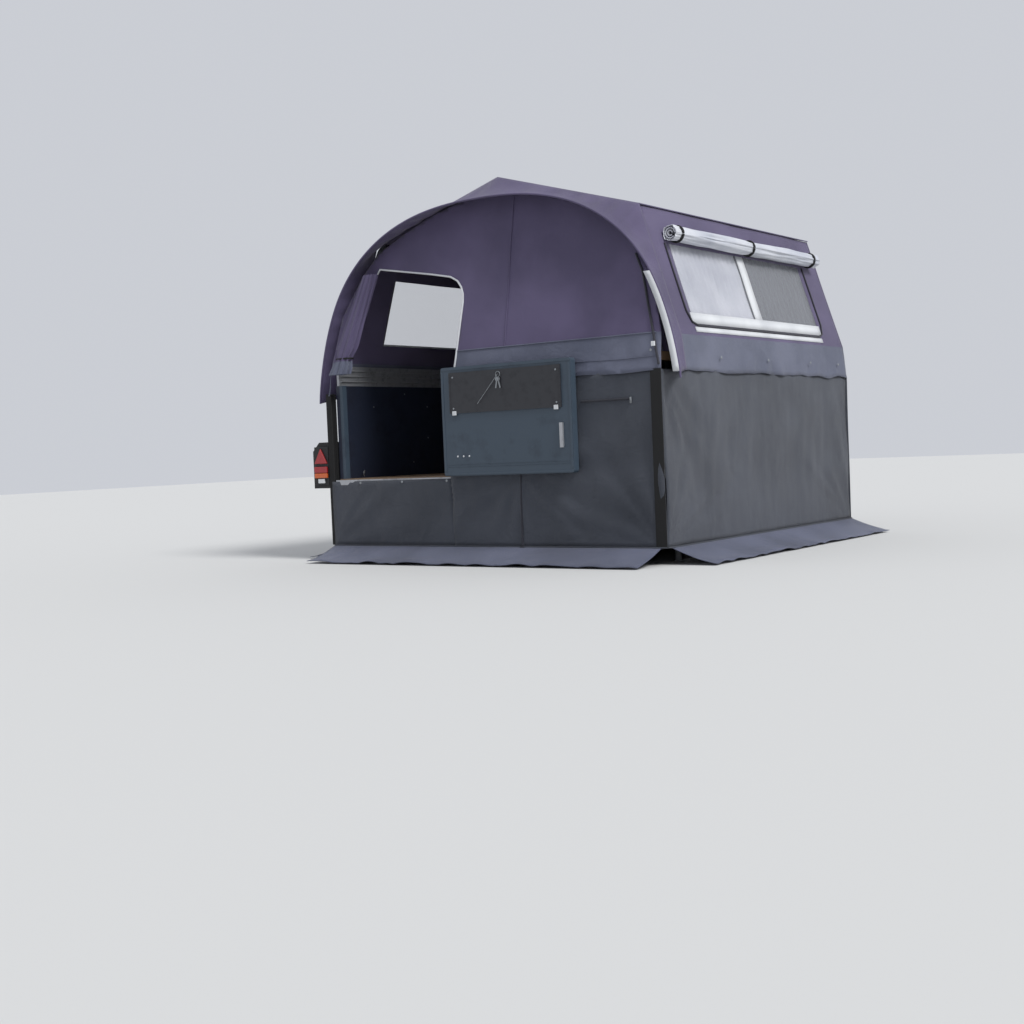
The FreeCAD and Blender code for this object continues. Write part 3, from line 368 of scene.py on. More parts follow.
window = {"y0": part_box("window_panes")[0][1], "y1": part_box("window_panes")[1][1],
          "z0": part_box("window_panes")[0][2], "z1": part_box("window_panes")[1][2]}
shearTop = tent["shoulderZ"] - 0.15
for side, label in ((1, "right"), (-1, "left")):
    outline = [(tent["rear"], tent["hem"] - 0.012), (tent["front"] - 0.004, tent["hem"] - 0.012),
               (tent["front"] - 0.004, tent["shoulderZ"]), (tent["roofRear"], tent["shoulderZ"]),
               (tent["roofRear"], shearTop), (tent["rear"], tent["seam"])]
    hull = [outline[0], outline[1], outline[2], outline[3], (tent["roofRear"] - 0.02, shearTop),
            outline[5]]
    hole = [(window["y0"], window["z0"]), (window["y1"], window["z0"]),
            (window["y1"], window["z1"]), (window["y0"], window["z1"])]
    clothSheet("sideCanvas" + label.title(), hull, sidePlace(side), ["purple", "greyBand"],
               ["side_canvas_" + label], holes=[hole], lines=[tent["seam"]],
               pick=lambda c: 1 if c.y < tent["seam"] else 0)


def roofPlace(side):
    def place(x, y):
        share = x / tent["shoulderX"]
        sag = 0.022 * math.sin(math.pi * share) * math.sin(
            math.pi * (y - tent["roofRear"]) / (tent["front"] - tent["roofRear"]))
        z = tent["ridge"] + (tent["shoulderZ"] - tent["ridge"]) * share + 0.005 - sag
        return (side * x, y, z + ripple(x, y, side, 4, 0.006) * math.sin(math.pi * share))
    return place


for side, label in ((1, "right"), (-1, "left")):
    clothSheet("roof" + label.title(), [
        (0, tent["roofRear"]), (tent["shoulderX"] + 0.004, tent["roofRear"]),
        (tent["shoulderX"] + 0.004, tent["front"]), (0, tent["front"])],
        roofPlace(side), ["purple"], ["roof_" + label], cell=0.05)
    tube("shoulderSeam" + label.title(),
         [(side * (tent["shoulderX"] + 0.003), y, tent["shoulderZ"] + 0.006)
          for y in spread(tent["roofRear"], tent["front"] - 0.005, 30)], 0.004, "purple")

gable = [(-tent["half"] + 0.004, tent["hem"] - 0.012), (tent["half"] - 0.004, tent["hem"] - 0.012),
         (tent["seamX"], tent["seam"]), (tent["shoulderX"], tent["shoulderZ"]), (0, tent["ridge"]),
         (-tent["shoulderX"], tent["shoulderZ"]), (-tent["seamX"], tent["seam"])]


def frontPlace(x, z):
    low = max(0, (tent["seam"] - z) / (tent["seam"] - tent["hem"]))
    return (x, tent["front"] - 0.004 + ripple(x, z, 5, 3, 0.008) + low * ripple(x, z, 2, 10, 0.012), z)


clothSheet("frontCanvas", gable, frontPlace, ["purple", "greyBand"], ["front_canvas"],
           lines=[tent["seam"]], pick=lambda c: 1 if c.y < tent["seam"] else 0)
print("walls and roof ready")

# ---- rear wall with its doorway
doorway = [(-1.252, tent["hem"] - 0.05), (-0.215, tent["hem"] - 0.05), (-0.168, 1.62), (-0.172, 1.67),
           (-0.190, 1.715), (-0.225, 1.758), (-0.285, 1.790), (-0.438, 1.822), (-0.888, 1.903),
           (-1.150, 1.42), (-1.252, 1.225)]


def rearPlace(x, z):
    low = max(0, (tent["seam"] - z) / (tent["seam"] - tent["hem"]))
    y = tent["rear"] - 0.004 + max(0, z - tent["hem"]) * tent["lean"]
    fold = ripple(x, z, 8, 3, 0.010) + low * (ripple(x, z, 3, 10, 0.018) - 0.006)
    return (x, y + fold, z + 0.004 * math.sin(x * 11) * low)


rearGable = [(-tent["half"] + 0.012, tent["hem"] - 0.012), (tent["half"], tent["hem"] - 0.012),
             (1.266, tent["seam"]), (1.200, 1.6), (1.045, 1.86), (0.925, 2.0), (0.74, 2.10),
             (0.44, 2.215),
             (0, 2.325), (-0.44, 2.215), (-0.74, 2.10), (-0.925, 2.0), (-1.045, 1.86), (-1.195, 1.6),
             (-1.250, tent["seam"])]
clothSheet("rearCanvas", rearGable, rearPlace, ["purple", "greyBand"], ["rear_canvas"],
           holes=[doorway], lines=[tent["seam"]], pick=lambda c: 1 if c.y < tent["seam"] else 0)


def onRear(points, proud=0.004):
    placed = [rearPlace(x, z) for x, z in points]
    return [(x, y - proud, z) for x, y, z in placed]


def roundedRoute(points, count=8):
    route = []
    for a, b in zip(points, points[1:]):
        route += [(a[0] + (b[0] - a[0]) * i / count, a[1] + (b[1] - a[1]) * i / count)
                  for i in range(count)]
    return route + [points[-1]]


tube("doorwayPiping", onRear(roundedRoute(doorway[1:10])), 0.006, "piping")
centreSeam = [(0.175, tent["seam"]), (0.175, 2.24)]
tube("rearCentreSeam", onRear(roundedRoute(centreSeam, 24)), 0.003, "purple")
tube("rearSeamWelt", onRear(roundedRoute([(-0.20, tent["seam"]), (1.235, tent["seam"])], 60)), 0.004,
     "greyBand")
tube("bandStitch", onRear(roundedRoute([(-0.20, tent["hem"] + 0.07), (1.25, tent["hem"] + 0.07)], 60)),
     0.0022, "greyBand")
tube("rearEdgeZip", onRear(roundedRoute([(1.262, 1.13), (1.205, 1.37), (1.155, 1.55), (1.118, 1.68),
                                         (1.07, 1.78)]), 0.006), 0.007, "zip")

# ---- flared hood
hood = {"half": 1.33, "foot": 1.05, "rise": 1.18, "power": 2 / 2.4, "edge": tent["rear"] + 0.030,
        "stations": 120, "rings": 14}


def hoodEdge(share):
    angle = math.pi * share
    side = math.copysign(abs(math.cos(angle)) ** hood["power"], math.cos(angle))
    flare = 0.05 * max(0, 1 - abs(math.sin(angle)) / 0.45) ** 2
    return Vector(((hood["half"] + flare) * side, hood["edge"],
                   hood["foot"] + hood["rise"] * abs(math.sin(angle)) ** hood["power"]))


def hoodRoot(share):
    corners = [Vector((tent["half"] + 0.012, tent["roofRear"], tent["hem"])),
               Vector((tent["seamX"] + 0.012, tent["roofRear"], tent["seam"])),
               Vector((tent["shoulderX"] + 0.010, tent["roofRear"], tent["shoulderZ"] + 0.006)),
               Vector((0, tent["roofRear"], tent["ridge"] + 0.006))]
    corners += [Vector((-c.x, c.y, c.z)) for c in corners[2::-1]]
    runs = [(b - a).length for a, b in zip(corners, corners[1:])]
    left = share * sum(runs)
    for a, b, run in zip(corners, corners[1:], runs):
        if left <= run:
            return a.lerp(b, left / run)
        left -= run
    return corners[-1]


def hoodPlace(share, reach):
    spot = hoodRoot(share).lerp(hoodEdge(share), reach)
    middle = Vector((0, spot.y, tent["hem"]))
    outward = (spot - middle).normalized()
    belly = math.sin(math.pi * reach)
    puckers = 0.006 * math.sin(share * 150 + 3 * math.sin(share * 21)) * belly
    spot += outward * (puckers - 0.018 * belly + ripple(spot.x, spot.z, 4, 7, 0.010) * belly)
    return spot


def hoodFlat(share, reach):
    return hoodPlace(share / 4.2, reach / 0.3)


clothSheet("rearHood", [(0, 0), (4.2, 0), (4.2, 0.3), (0, 0.3)], hoodFlat, ["purple"], ["rear_hood"],
           cell=0.022)
rim = [hoodPlace(s, 1.0) for s in spread(0, 1, 120)]
tube("hoodRim", rim, 0.006, "purple")
for label, start, end in (("Right", 0.005, 0.150),):
    strip = bmesh.new()
    bmesh.ops.create_grid(strip, x_segments=24, y_segments=1, size=0.5)
    for vert in strip.verts:
        share = start + (end - start) * (vert.co.x + 0.5)
        spot = hoodPlace(share, 1.0)
        vert.co = spot + Vector((0, -0.007, 0)) + Vector((-0.04 if spot.x > 0 else 0.04, 0, 0)) * (
            vert.co.y + 0.5)
    piece = finishMesh("hoodEdge" + label, strip, ["piping"], thickness=0.003)
print("rear wall and hood ready")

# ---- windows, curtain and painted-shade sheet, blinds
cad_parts["window_panes"].data.materials.clear()
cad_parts["window_panes"].data.materials.append(film)


def sideStrip(name, y0, y1, z0, z1, key, side=1, proud=0.004):
    outline = [(y0, z0), (y1, z0), (y1, z1), (y0, z1)]
    return clothSheet(name, outline, sidePlace(side, proud), [key], cell=0.05)


for side, label in ((1, "Right"), (-1, "Left")):
    sideStrip("windowLowBand" + label, window["y0"] - 0.02, window["y1"] + 0.02, window["z0"] - 0.055,
              window["z0"] + 0.012, "piping", side)
    sideStrip("windowUnderBand" + label, window["y0"] - 0.01, window["y1"] + 0.01,
              window["z0"] - 0.105, window["z0"] - 0.075, "piping", side)
    middle = (window["y0"] + window["y1"]) / 2
    sideStrip("windowMullion" + label, middle - 0.05, middle + 0.05, window["z0"], window["z1"],
              "piping", side, 0.002)
    left, right = window["y0"], window["y1"]
    low, high = window["z0"], window["z1"]
    zipRoute = [(left - 0.06, high), (left - 0.06, low + 0.02), (left - 0.03, low - 0.045),
                (left + 0.03, low - 0.065), (right - 0.03, low - 0.065),
                (right + 0.03, low - 0.045), (right + 0.06, low + 0.02), (right + 0.06, high)]
    onSide = sidePlace(side, 0.006)
    tube("windowZip" + label, [onSide(y, z) for y, z in roundedRoute(zipRoute, 6)], 0.006, "zip")


# hangs a sheet inside a pane: a real pale curtain, or a dark sheet whose colour is painted shade
def makeCurtainAndShadeSheet(name, y0, y1, key, folds, slack):
    def place(u, v):
        depth = 0.008 * math.sin((u - y0) * folds + 1.6 * math.sin(u * 5)) + ripple(u, v, 1, 6, 0.006)
        return (wallX(v) - 0.024 - slack + depth, u, v)
    outline = [(y0, window["z0"] - 0.018), (y1, window["z0"] - 0.018), (y1, window["z1"] + 0.018),
               (y0, window["z1"] + 0.018)]
    return clothSheet(name, outline, place, [key], cell=0.012)


pale = makeCurtainAndShadeSheet("curtainPale", window["y0"] - 0.018, middle - 0.03, "sheer", 105, 0.0)
# dark sheet behind the right pane, not a curtain: its colour is painted shade of the unlit inside
makeCurtainAndShadeSheet("paneShadeSheet", middle + 0.03, window["y1"] + 0.018, "shadeBehindPane", 80, 0.0)
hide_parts("curtains")

blindLow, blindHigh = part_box("rolled_blinds")
blind = {"radius": (blindHigh[2] - blindLow[2]) / 2, "y0": blindLow[1], "y1": blindHigh[1],
         "z": (blindLow[2] + blindHigh[2]) / 2}
blind["x"] = blindHigh[0] - blind["radius"]
for side, label in ((1, "Right"), (-1, "Left")):
    roll = bmesh.new()
    bmesh.ops.create_grid(roll, x_segments=72, y_segments=110, size=0.5)
    for vert in roll.verts:
        angle = (vert.co.x + 0.5) * 2 * math.pi * 1.12
        y = blind["y0"] + 0.004 + (blind["y1"] - blind["y0"] - 0.008) * (vert.co.y + 0.5)
        pinch = sum(math.exp(-((y - s) / 0.05) ** 2) for s in
                    (blind["y0"] + 0.09, (blind["y0"] + blind["y1"]) / 2, blind["y1"] - 0.09))
        radius = blind["radius"] * (0.92 - 0.10 * pinch) - 0.004 * (vert.co.x + 0.5)
        radius += ripple(angle, y, side, 3.2, 0.007) + 0.002 * math.sin(5 * angle + y * 4)
        vert.co = Vector((side * (blind["x"] + radius * math.cos(angle)), y,
                          blind["z"] + radius * math.sin(angle)))
    piece = finishMesh("rolledBlind" + label, roll, ["blind"], thickness=0.003)
    if side > 0:
        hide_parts("rolled_blinds")
    for turn in (0.6, 0.3):
        core = [(side * (blind["x"] + blind["radius"] * turn * math.cos(a)), blind["y0"] + 0.012,
                 blind["z"] + blind["radius"] * turn * math.sin(a)) for a in spread(0, 5.6, 30)]
        tube("blindTurn%s%d" % (label, turn * 10), core, 0.004, "blind")
    strapSpots = (blind["y0"] + 0.09, (blind["y0"] + blind["y1"]) / 2, blind["y1"] - 0.09)
    for index, y in enumerate(strapSpots):
        ring = [(side * (blind["x"] + blind["radius"] * 0.90 * math.cos(a)), y + 0.002 * math.sin(a),
                 blind["z"] + blind["radius"] * 0.90 * math.sin(a)) for a in spread(0, 6.2, 40)]
        tube("blindStrap%s%d" % (label, index), ring, 0.009, "webbing")
print("windows ready")

# ---- tied-back door flap
rollLow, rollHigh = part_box("door_flap_roll")
flapRoll = {"foot": Vector((rollLow[0] + 0.095, -1.745, rollLow[2] + 0.006)),
            "top": Vector((-0.928, -1.630, rollHigh[2] - 0.006))}
bundle = bmesh.new()
bmesh.ops.create_grid(bundle, x_segments=96, y_segments=60, size=0.5)
for face in bundle.faces:
    face.material_index = 1 if face.calc_center_median().y < -0.37 else 0
for vert in bundle.verts:
    angle = (vert.co.x + 0.5) * 2 * math.pi
    rise = vert.co.y + 0.5
    middleSpot = flapRoll["foot"].lerp(flapRoll["top"], rise)
    wide = 0.090 + (0.056 - 0.090) * rise
    wide *= 1 - 0.28 * math.exp(-((rise - 0.16) / 0.07) ** 2)
    folds = 1 + 0.13 * math.sin(9 * angle + 2.2 * rise) + 0.06 * math.sin(17 * angle - 3 * rise)
    vert.co = middleSpot + Vector((wide * 0.92 * math.cos(angle) * folds,
                                   0.036 * math.sin(angle) * folds, 0))
bmesh.ops.remove_doubles(bundle, verts=bundle.verts, dist=1e-4)
piece = finishMesh("doorFlapRoll", bundle, ["purple", "greyBand"])
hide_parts("door_flap_roll")
tie = flapRoll["foot"].lerp(flapRoll["top"], 0.16)
tube("doorFlapTie", [(tie.x + 0.066 * math.cos(a), tie.y + 0.034 * math.sin(a), tie.z)
                     for a in spread(0, 6.28, 40)], 0.006, "webbing")

# ---- skirts
skirt = {"low": tent["stitch"], "high": tent["hem"] - 0.004}


def upright(origin, along, outward, seed, size=0.010, pulls=()):
    # creases spread from each corner where the sheet is pulled tight
    def place(u, v):
        hang = math.sin(math.pi * min(1, max(0, (v - skirt["low"]) / (skirt["high"] - skirt["low"]))))
        fold = ripple(u, v * 0.5, seed, 3.2, size) + ripple(u * 1.4, v * 0.35, seed + 3, 9, size * 0.4)
        for pullU, pullV in pulls:
            far = math.hypot(u - pullU, v - pullV)
            turn = math.atan2(v - pullV, u - pullU)
            fold += 0.011 * math.sin(turn * 15 + 4 * noise.noise(Vector((turn * 2, seed, far)))) * min(
                1, far * 5) * math.exp(-far * 1.6)
        return Vector(origin) + Vector(along) * u + Vector((0, 0, v)) + Vector(outward) * fold * (
            0.35 + 0.65 * hang)
    return place


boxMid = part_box("rear_door")[0][0]
sillZ = 0.524
rearSkirtLow = [(-tent["half"] + 0.004, skirt["low"]), (boxMid + 0.006, skirt["low"]),
                (boxMid + 0.006, sillZ), (-tent["half"] + 0.004, sillZ)]
rearSkirtHigh = [(boxMid, skirt["low"]), (tent["half"], skirt["low"]), (tent["half"], skirt["high"]),
                 (boxMid, skirt["high"])]
rearWall = upright((0, tent["rear"], 0), (1, 0, 0), (0, 1, 0), 1, 0.012,
                   [(tent["half"], skirt["low"]), (0.275, 0.56), (-tent["half"], skirt["low"])])
piece = clothSheet("skirtRear", rearSkirtHigh, rearWall, ["skirt"], ["skirt_rear"])
clothSheet("skirtRearLow", rearSkirtLow, rearWall, ["skirt"])
rightWall = upright((tent["half"] - 0.006, 0, 0), (0, 1, 0), (1, 0, 0), 6, 0.016,
                    [(tent["rear"], skirt["low"]), (tent["rear"], skirt["high"]),
                     (tent["front"], skirt["low"])])
clothSheet("skirtRight", [(tent["rear"] + 0.004, skirt["low"]), (tent["front"] - 0.009, skirt["low"]),
                          (tent["front"] - 0.009, skirt["high"]),
                          (tent["rear"] + 0.004, skirt["high"])],
           rightWall, ["skirt"], ["skirt_right"])
frontWall = upright((0, tent["front"] - 0.004, 0), (1, 0, 0), (0, 1, 0), 9)
clothSheet("skirtFront", [(-0.02, skirt["low"]), (tent["half"], skirt["low"]),
                          (tent["half"], skirt["high"]), (-0.02, skirt["high"])],
           frontWall, ["skirt"], ["skirt_front"])
clothSheet("skirtFrontLow", [(-1.252, skirt["low"]), (0.054, skirt["low"]), (0.054, 0.419),
                             (-1.252, 0.419)], frontWall, ["skirt"])
leftLow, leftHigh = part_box("skirt_left")
leftWall = upright(((leftLow[0] + leftHigh[0]) / 2, 0, 0), (0, 1, 0), (1, 0, 0), 12, 0.003)
guardLow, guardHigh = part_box("tyre_left")
bay = {"rear": guardLow[1] - 0.06, "front": guardHigh[1] + 0.06}
for name, y0, y1, nodes in (("Rear", leftLow[1], bay["rear"], ["skirt_left"]),
                            ("Front", bay["front"], leftHigh[1], [])):
    clothSheet("skirtLeft" + name, [(y0, skirt["low"]), (y1, skirt["low"]), (y1, leftHigh[2]),
                                    (y0, leftHigh[2])], leftWall, ["skirt"], nodes)


# ---- ground flaps
def flapPlace(inner, outer, axis, seed):
    def place(u, v):
        share = v / 0.29
        across = inner + (outer - inner) * share
        edge = min(1, share * 1.2)
        lift = (0.007 + abs(ripple(u, v, seed, 6, 0.022))) * edge * share
        z = 0.097 * (1 - share) ** 1.25 + 0.003 + lift
        return (u, across, z) if axis == "x" else (across, u, z)
    return place


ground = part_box("ground_flaps")
flapRuns = [
    ("Rear", -tent["half"], tent["half"] - 0.04, tent["rear"] + 0.002, ground[0][1], "x"),
    ("Front", -tent["half"], tent["half"], tent["front"] - 0.002,
     ground[0][1] + tent["run"] + 0.56, "x"),
    ("Right", tent["rear"] + 0.04, tent["front"], tent["half"] - 0.004, ground[1][0], "y"),
    ("LeftRear", tent["rear"] + 0.04, bay["rear"], leftLow[0] + 0.004, ground[0][0], "y"),
    ("LeftFront", bay["front"], tent["front"] - 0.008, leftLow[0] + 0.004, ground[0][0], "y"),
]
for index, (name, start, end, inner, outer, axis) in enumerate(flapRuns):
    clothSheet("groundFlap" + name, [(start, 0), (end, 0), (end, 0.29), (start, 0.29)],
               flapPlace(inner, outer, axis, 20 + index), ["flap"],
               ["ground_flaps"] if index == 0 else [])
stitchLines = [
    ("Rear", [(x, tent["rear"] - 0.006, skirt["low"])
              for x in spread(-tent["half"], tent["half"], 60)]),
    ("Right", [(tent["half"] + 0.004, y, skirt["low"])
               for y in spread(tent["rear"], tent["front"], 60)]),
]
for name, points in stitchLines:
    tube("stitchLine" + name, points, 0.004, "skirt")

# zips, buttons and loops on the skirts
rearFace = tent["rear"] - 0.009
zips = {"x": 0.275, "low": 0.11, "high": 0.534, "level": 0.95, "from": 0.738, "to": 1.077}
lift = Vector((0, -0.005, 0))
tube("skirtZipUpright", [rearWall(zips["x"], z) + lift
                         for z in spread(zips["low"], zips["high"], 20)], 0.006, "zip")
tube("skirtZipLoop", [(zips["x"] + 0.02 * math.sin(a), rearFace - 0.004,
                       0.10 - 0.035 * (1 - math.cos(a)) / 2)
                      for a in spread(0, 6.2, 20)], 0.0025, "webbing")
tube("skirtZipLevel", [rearWall(x, zips["level"]) + lift
                       for x in spread(zips["from"], zips["to"], 20)], 0.006, "zip")
pullSpot = rearWall(1.076, 0.942) + lift
block("skirtZipPull", pullSpot - Vector((0.006, 0.008, 0.018)),
      pullSpot + Vector((0.006, 0, 0.018)), "steel")


def button(name, spot, axis, radius=0.009, key="steel"):
    shape = bmesh.new()
    bmesh.ops.create_uvsphere(shape, u_segments=16, v_segments=8, radius=radius)
    squash = [1, 1, 1]
    squash["xyz".index(axis)] = 0.4
    bmesh.ops.scale(shape, vec=squash, verts=shape.verts)
    bmesh.ops.translate(shape, vec=spot, verts=shape.verts)
    return finishMesh(name, shape, [key])


for index, x in enumerate((-1.019, -0.656, -0.290)):
    button("sillSnap%d" % index, rearWall(x, 0.512) + lift * 0.7, "y")
for index, y in enumerate((0.712, 1.353, 1.998, 2.46)):
    button("bandSnap%d" % index, (tent["half"] + 0.008, tent["rear"] + y, 1.186), "x")
button("bandEyelet", (1.215, tent["rear"] - 0.008, 1.215), "y", 0.008)
block("bandBuckle", (1.222, tent["rear"] - 0.016, 1.235),
      (1.246, tent["rear"] - 0.006, 1.262), "piping")
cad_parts["corner_strips"].data.materials.clear()
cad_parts["corner_strips"].data.materials.append(mats["webbing"])
print("skirts and flaps ready")

strip = {"low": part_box("corner_strips")[0], "inner": 0.062, "outer": 0.068, "back": 0.012,
         "front": -1.662}
block("cornerReturn",
      (strip["low"][0] + strip["inner"], strip["low"][1] + strip["back"], sillZ),
      (strip["low"][0] + strip["outer"], strip["front"], skirt["high"]), "webbing")

# ---- rear door details
doorLow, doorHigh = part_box("rear_door")
boardLow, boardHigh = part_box("door_board")
face = doorLow[1]
rimWidth = 0.024
rims = [((doorLow[0], doorLow[2]), (doorHigh[0], doorLow[2] + rimWidth)),
        ((doorLow[0], doorHigh[2] - rimWidth), (doorHigh[0], doorHigh[2])),
        ((doorLow[0], doorLow[2] + rimWidth), (doorLow[0] + rimWidth, doorHigh[2] - rimWidth)),
        ((doorHigh[0] - rimWidth, doorLow[2] + rimWidth), (doorHigh[0], doorHigh[2] - rimWidth))]
for index, (low, high) in enumerate(rims):
    block("doorRim%d" % index, (low[0] + 0.004, face - 0.003, low[1] + 0.004),
          (high[0] - 0.004, face + 0.001, high[1] - 0.004), "panel", "rear_door")
for index, x in enumerate((boardLow[0] + 0.02, boardHigh[0] - 0.05)):
    block("boardClip%d" % index, (x, boardLow[1] - 0.004, boardLow[2] - 0.012),
          (x + 0.03, boardLow[1] + 0.002, boardLow[2] + 0.014), "piping", "rear_door", 0.002)
for index in range(14):
    z = boardLow[2] + 0.012 + index * 0.0165
    for edge, x in enumerate((boardLow[0], boardHigh[0] - 0.012)):
        block("boardTooth%d_%d" % (edge, index), (x, boardLow[1] - 0.003, z),
              (x + 0.012, boardLow[1] + 0.001, z + 0.009), "board", "rear_door", 0.001)
for index, (x, z) in enumerate(((0.03, 0.03), (-0.03, 0.03), (0.03, -0.03), (-0.03, -0.03))):
    spotX = (boardLow[0] if x > 0 else boardHigh[0]) + x
    spotZ = (boardLow[2] if z > 0 else boardHigh[2]) + z
    piece = button("boardBolt%d" % index, (spotX, boardLow[1] - 0.001, spotZ), "y", 0.006)
    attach(piece, "rear_door")
for index in range(3):
    piece = button("doorDot%d" % index, (doorLow[0] + 0.11 + index * 0.045, face - 0.001,
                                         doorLow[2] + 0.12), "y", 0.006, "piping")
    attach(piece, "rear_door")
for index, z in enumerate((0.055, 0.070)):
    block("doorCrease%d" % index, (doorLow[0] + 0.03, face - 0.002, doorLow[2] + z),
          (doorHigh[0] - 0.03, face + 0.001, doorLow[2] + z + 0.004), "panel", "rear_door", 0.001)
ringX = (doorLow[0] + doorHigh[0]) / 2 - 0.03
tube("keyRing", [(ringX + 0.016 * math.sin(a), boardLow[1] - 0.008, boardHigh[2] - 0.03
                  + 0.016 * math.cos(a)) for a in spread(0, 6.28, 24)], 0.0016, "steel", "rear_door")
for index, tilt in enumerate((-0.25, 0.2)):
    key = bmesh.new()
    bmesh.ops.create_cone(key, cap_ends=True, segments=20, radius1=0.013, radius2=0.013, depth=0.003,
                          matrix=Matrix.Rotation(math.pi / 2, 4, "X"))
    bmesh.ops.create_cube(key, size=1, matrix=Matrix.Translation((0, 0, -0.032)) @ Matrix.Diagonal(
        (0.008, 0.0025, 0.045, 1)))
    bmesh.ops.rotate(key, cent=(0, 0, 0.012), matrix=Matrix.Rotation(tilt, 3, "Y"), verts=key.verts)
    bmesh.ops.translate(key, vec=(ringX, boardLow[1] - 0.010 - 0.004 * index, boardHigh[2] - 0.060),
                        verts=key.verts)
    finishMesh("key%d" % index, key, ["steel"], "rear_door", smooth=False)
tube("doorStay", [(ringX - 0.16 * t, boardLow[1] - 0.010, boardHigh[2] - 0.03 - 0.17 * t)
                  for t in spread(0, 1, 6)], 0.0018, "steel", "rear_door")
print("door ready")

# ---- tail lamps
lampLow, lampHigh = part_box("tail_lamps")
lampMiddle = (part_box("box_floor")[0][0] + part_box("box_floor")[1][0]) / 2
for side, label in ((-1, "Left"), (1, "Right")):
    outer = lampMiddle + side * (lampMiddle - lampLow[0])
    centre = outer - side * 0.065
    x0, x1 = centre - 0.060, centre + 0.060
    base = (lampLow[1] + 0.018, lampHigh[1] - 0.001)
    block("lampBase" + label, (x0 - 0.004, base[0], lampLow[2]),
          (x1 + 0.004, base[1], lampHigh[2]), "black")
    block("lampAmber" + label, (x0, base[0] - 0.014, lampLow[2] + 0.045),
          (x1, base[0] + 0.001, lampLow[2] + 0.078), "amber", bevel=0.006)
    block("lampRed" + label, (x0, base[0] - 0.014, lampLow[2] + 0.080),
          (x1, base[0] + 0.001, lampLow[2] + 0.122), "red", bevel=0.006)
    block("lampClear" + label, (x0 + 0.03, base[0] - 0.010, lampLow[2] + 0.010),
          (x1 - 0.03, base[0] + 0.001, lampLow[2] + 0.040), "clear", bevel=0.004)
    reflector = bmesh.new()
    bmesh.ops.create_cone(reflector, cap_ends=True, segments=3, radius1=0.070, radius2=0.064,
                          depth=0.012, matrix=Matrix.Rotation(math.pi / 2, 4, "X"))
    lowest = min(v.co.z for v in reflector.verts)
    if abs(lowest) > 0.05:
        bmesh.ops.rotate(reflector, cent=(0, 0, 0), matrix=Matrix.Rotation(math.pi, 3, "Y"),
                         verts=reflector.verts)
    bmesh.ops.translate(reflector, vec=(centre, base[0] - 0.007, lampLow[2] + 0.175),
                        verts=reflector.verts)
    finishMesh("lampReflector" + label, reflector, ["red"], smooth=False, bevel=0.003)
    if side < 0:
        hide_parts("tail_lamps")

# ---- tyres and wheels
for label in ("left", "right"):
    low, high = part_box("tyre_" + label)
    centre = Vector([(a + b) / 2 for a, b in zip(low, high)])
    wide, tall = high[0] - low[0], (high[2] - low[2]) / 2
    tyre = bmesh.new()
    section = [(-0.43, 0.602), (-0.5, 0.70), (-0.5, 0.84), (-0.46, 0.93), (-0.38, 0.975), (-0.30, 0.995),
               (-0.29, 0.965), (-0.25, 0.965), (-0.24, 1.0), (-0.06, 1.0), (-0.05, 0.965), (0.05, 0.965),
               (0.06, 1.0), (0.24, 1.0), (0.25, 0.965), (0.29, 0.965), (0.30, 0.995), (0.38, 0.975),
               (0.46, 0.93), (0.5, 0.84), (0.5, 0.70), (0.43, 0.602)]
    ring = [tyre.verts.new((across * wide, 0, up * tall)) for across, up in section]
    edges = [tyre.edges.new((a, b)) for a, b in zip(ring, ring[1:] + ring[:1])]
    bmesh.ops.spin(tyre, geom=ring + edges, cent=(0, 0, 0), axis=(1, 0, 0), angle=2 * math.pi, steps=96,
                   use_merge=True)
    bmesh.ops.remove_doubles(tyre, verts=tyre.verts, dist=1e-5)
    bmesh.ops.recalc_face_normals(tyre, faces=tyre.faces)
    bmesh.ops.translate(tyre, vec=centre, verts=tyre.verts)
    piece = finishMesh("tyre" + label.title(), tyre, ["rubber"], "wheel_" + label)
    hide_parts("tyre_" + label)
    outward = -1 if label == "left" else 1
    for index in range(4):
        angle = math.pi / 4 + index * math.pi / 2
        nut = bmesh.new()
        bmesh.ops.create_cone(nut, cap_ends=True, segments=6, radius1=0.010, radius2=0.009, depth=0.016,
                              matrix=Matrix.Rotation(math.pi / 2, 4, "Y"))
        bmesh.ops.translate(nut, vec=centre + Vector((outward * 0.012, 0.062 * math.cos(angle),
                                                      0.062 * math.sin(angle))), verts=nut.verts)
        finishMesh("wheelNut%s%d" % (label.title(), index), nut, ["steel"], "wheel_" + label,
                   smooth=False)
print("wheels ready")

# ---- box details seen through the doorway
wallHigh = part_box("box_wall_left")[1]
for index, (y, z) in enumerate(((0.38, 1.02), (0.71, 1.11), (0.955, 1.02), (0.95, 0.80), (0.78, 0.63))):
    button("wallScrew%d" % index, (wallHigh[0] + 0.001, tent["rear"] + y, z), "x", 0.006)
for index, z in enumerate((1.19, 1.225, 1.26)):
    tube("rimBar%d" % index, [(wallHigh[0] + 0.006, y, z)
                              for y in (tent["rear"] + 0.06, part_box("box_wall_front")[0][1] - 0.002)],
         0.005, "alloy")
tube("wallHook", [(wallHigh[0] + 0.004 + 0.03 * math.sin(a / 2),
                   tent["rear"] + 0.23 + 0.02 * math.cos(a),
                   0.57 + 0.02 * math.sin(a)) for a in spread(0, 4.5, 16)], 0.0025, "steel")

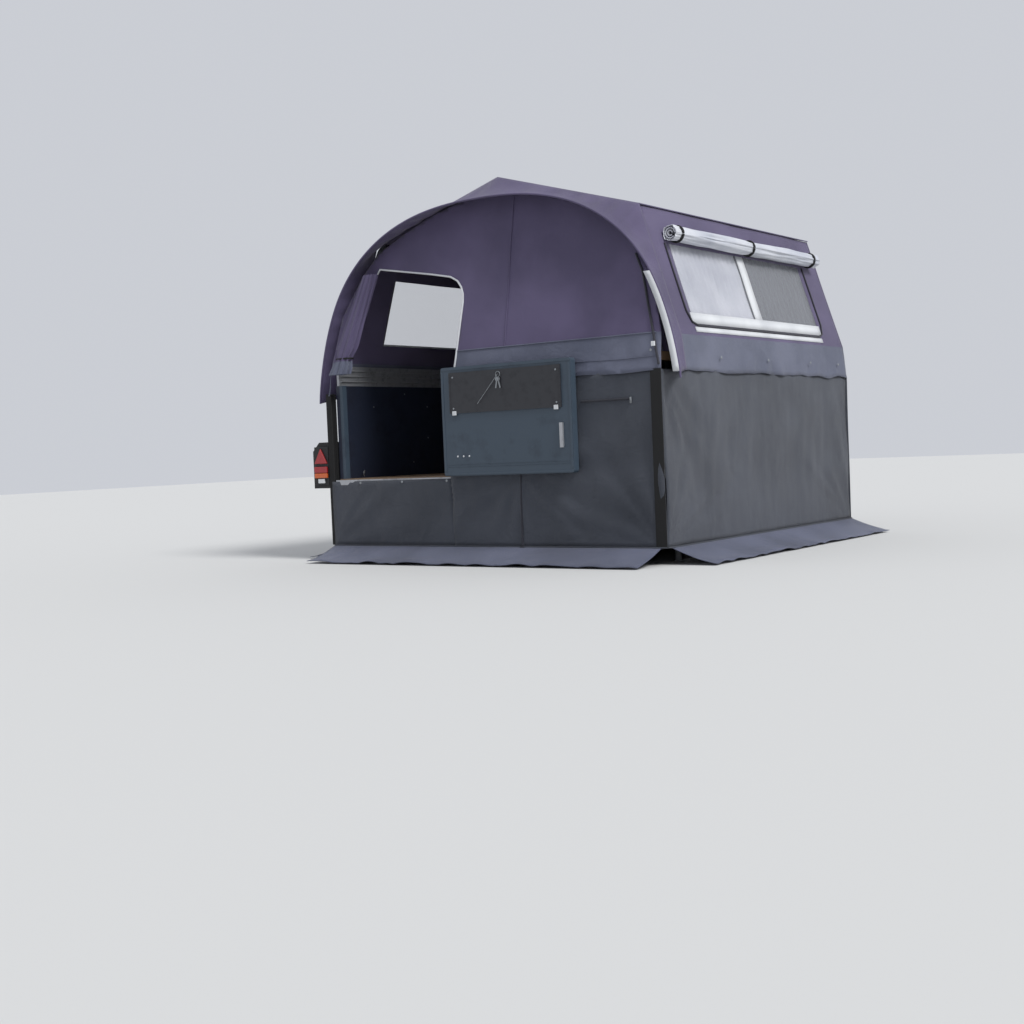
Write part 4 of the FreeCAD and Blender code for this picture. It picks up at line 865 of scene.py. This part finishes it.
# ---- finishes on the frame's own nodes
finishes = {
    "panel": ["rear_door", "rear_frame", "box_wall_front"],
    "innerPanel": ["box_wall_left", "box_wall_right"],
    "board": ["door_board"],
    "plywood": ["box_floor", "bed_base"],
    "alloy": ["rim_rails", "rear_sill", "door_handle", "bed_hinge"],
    "black": ["lamp_brackets", "mudguards"],
    "wheel": ["rim_left", "rim_right"],
    "rubber": ["jockey_wheel"],
}
keyOf = {name: key for key, names in finishes.items() for name in names}
for name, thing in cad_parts.items():
    if name in ("window_panes", "corner_strips"):
        continue
    thing.data.materials.clear()
    thing.data.materials.append(mats[keyOf.get(name, "steel")])

# ---- floor, light, camera
floor = bmesh.new()
bmesh.ops.create_grid(floor, x_segments=1, y_segments=1, size=30)
floorMesh = bpy.data.meshes.new("floor")
floor.to_mesh(floorMesh)
floor.free()
floorPiece = bpy.data.objects.new("floor", floorMesh)
bpy.context.collection.objects.link(floorPiece)
floorPaint = bpy.data.materials.new("floorPaint")
floorPaint.use_nodes = True
floorPaint.node_tree.nodes["Principled BSDF"].inputs["Base Color"].default_value = srgb(206, 206, 204)
floorPaint.node_tree.nodes["Principled BSDF"].inputs["Roughness"].default_value = 0.9
floorMesh.materials.append(floorPaint)

world = bpy.data.worlds.new("studio")
bpy.context.scene.world = world
world.use_nodes = True
world.node_tree.nodes["Background"].inputs["Color"].default_value = (0.90, 0.93, 1.0, 1)
world.node_tree.nodes["Background"].inputs["Strength"].default_value = 0.66
sun = bpy.data.objects.new("sun", bpy.data.lights.new("sun", "SUN"))
sun.data.energy = 2.4
sun.data.angle = math.radians(18)
sun.rotation_euler = Vector((0.75, -0.12, 0.75)).to_track_quat("Z", "Y").to_euler()
bpy.context.collection.objects.link(sun)

view = {"eye": Vector((5.196, -8.548, 0.692)), "forward": Vector((-0.5896, 0.8064, -0.0450)),
        "roll": math.radians(2.42), "lens": 49.07}
ahead = view["forward"].normalized()
level = ahead.cross(Vector((0, 0, 1))).normalized()
above = level.cross(ahead)
right = level * math.cos(view["roll"]) - above * math.sin(view["roll"])
top = above * math.cos(view["roll"]) + level * math.sin(view["roll"])
camera = bpy.data.objects.new("camera", bpy.data.cameras.new("camera"))
camera.data.lens = view["lens"]
camera.data.sensor_width = 36
pose = Matrix((right, top, -ahead)).transposed().to_4x4()
pose.translation = view["eye"]
camera.matrix_world = pose
bpy.context.collection.objects.link(camera)
bpy.context.scene.camera = camera
bpy.context.scene.view_settings.view_transform = "Standard"
print("camera ready")

bpy.context.view_layer.update()
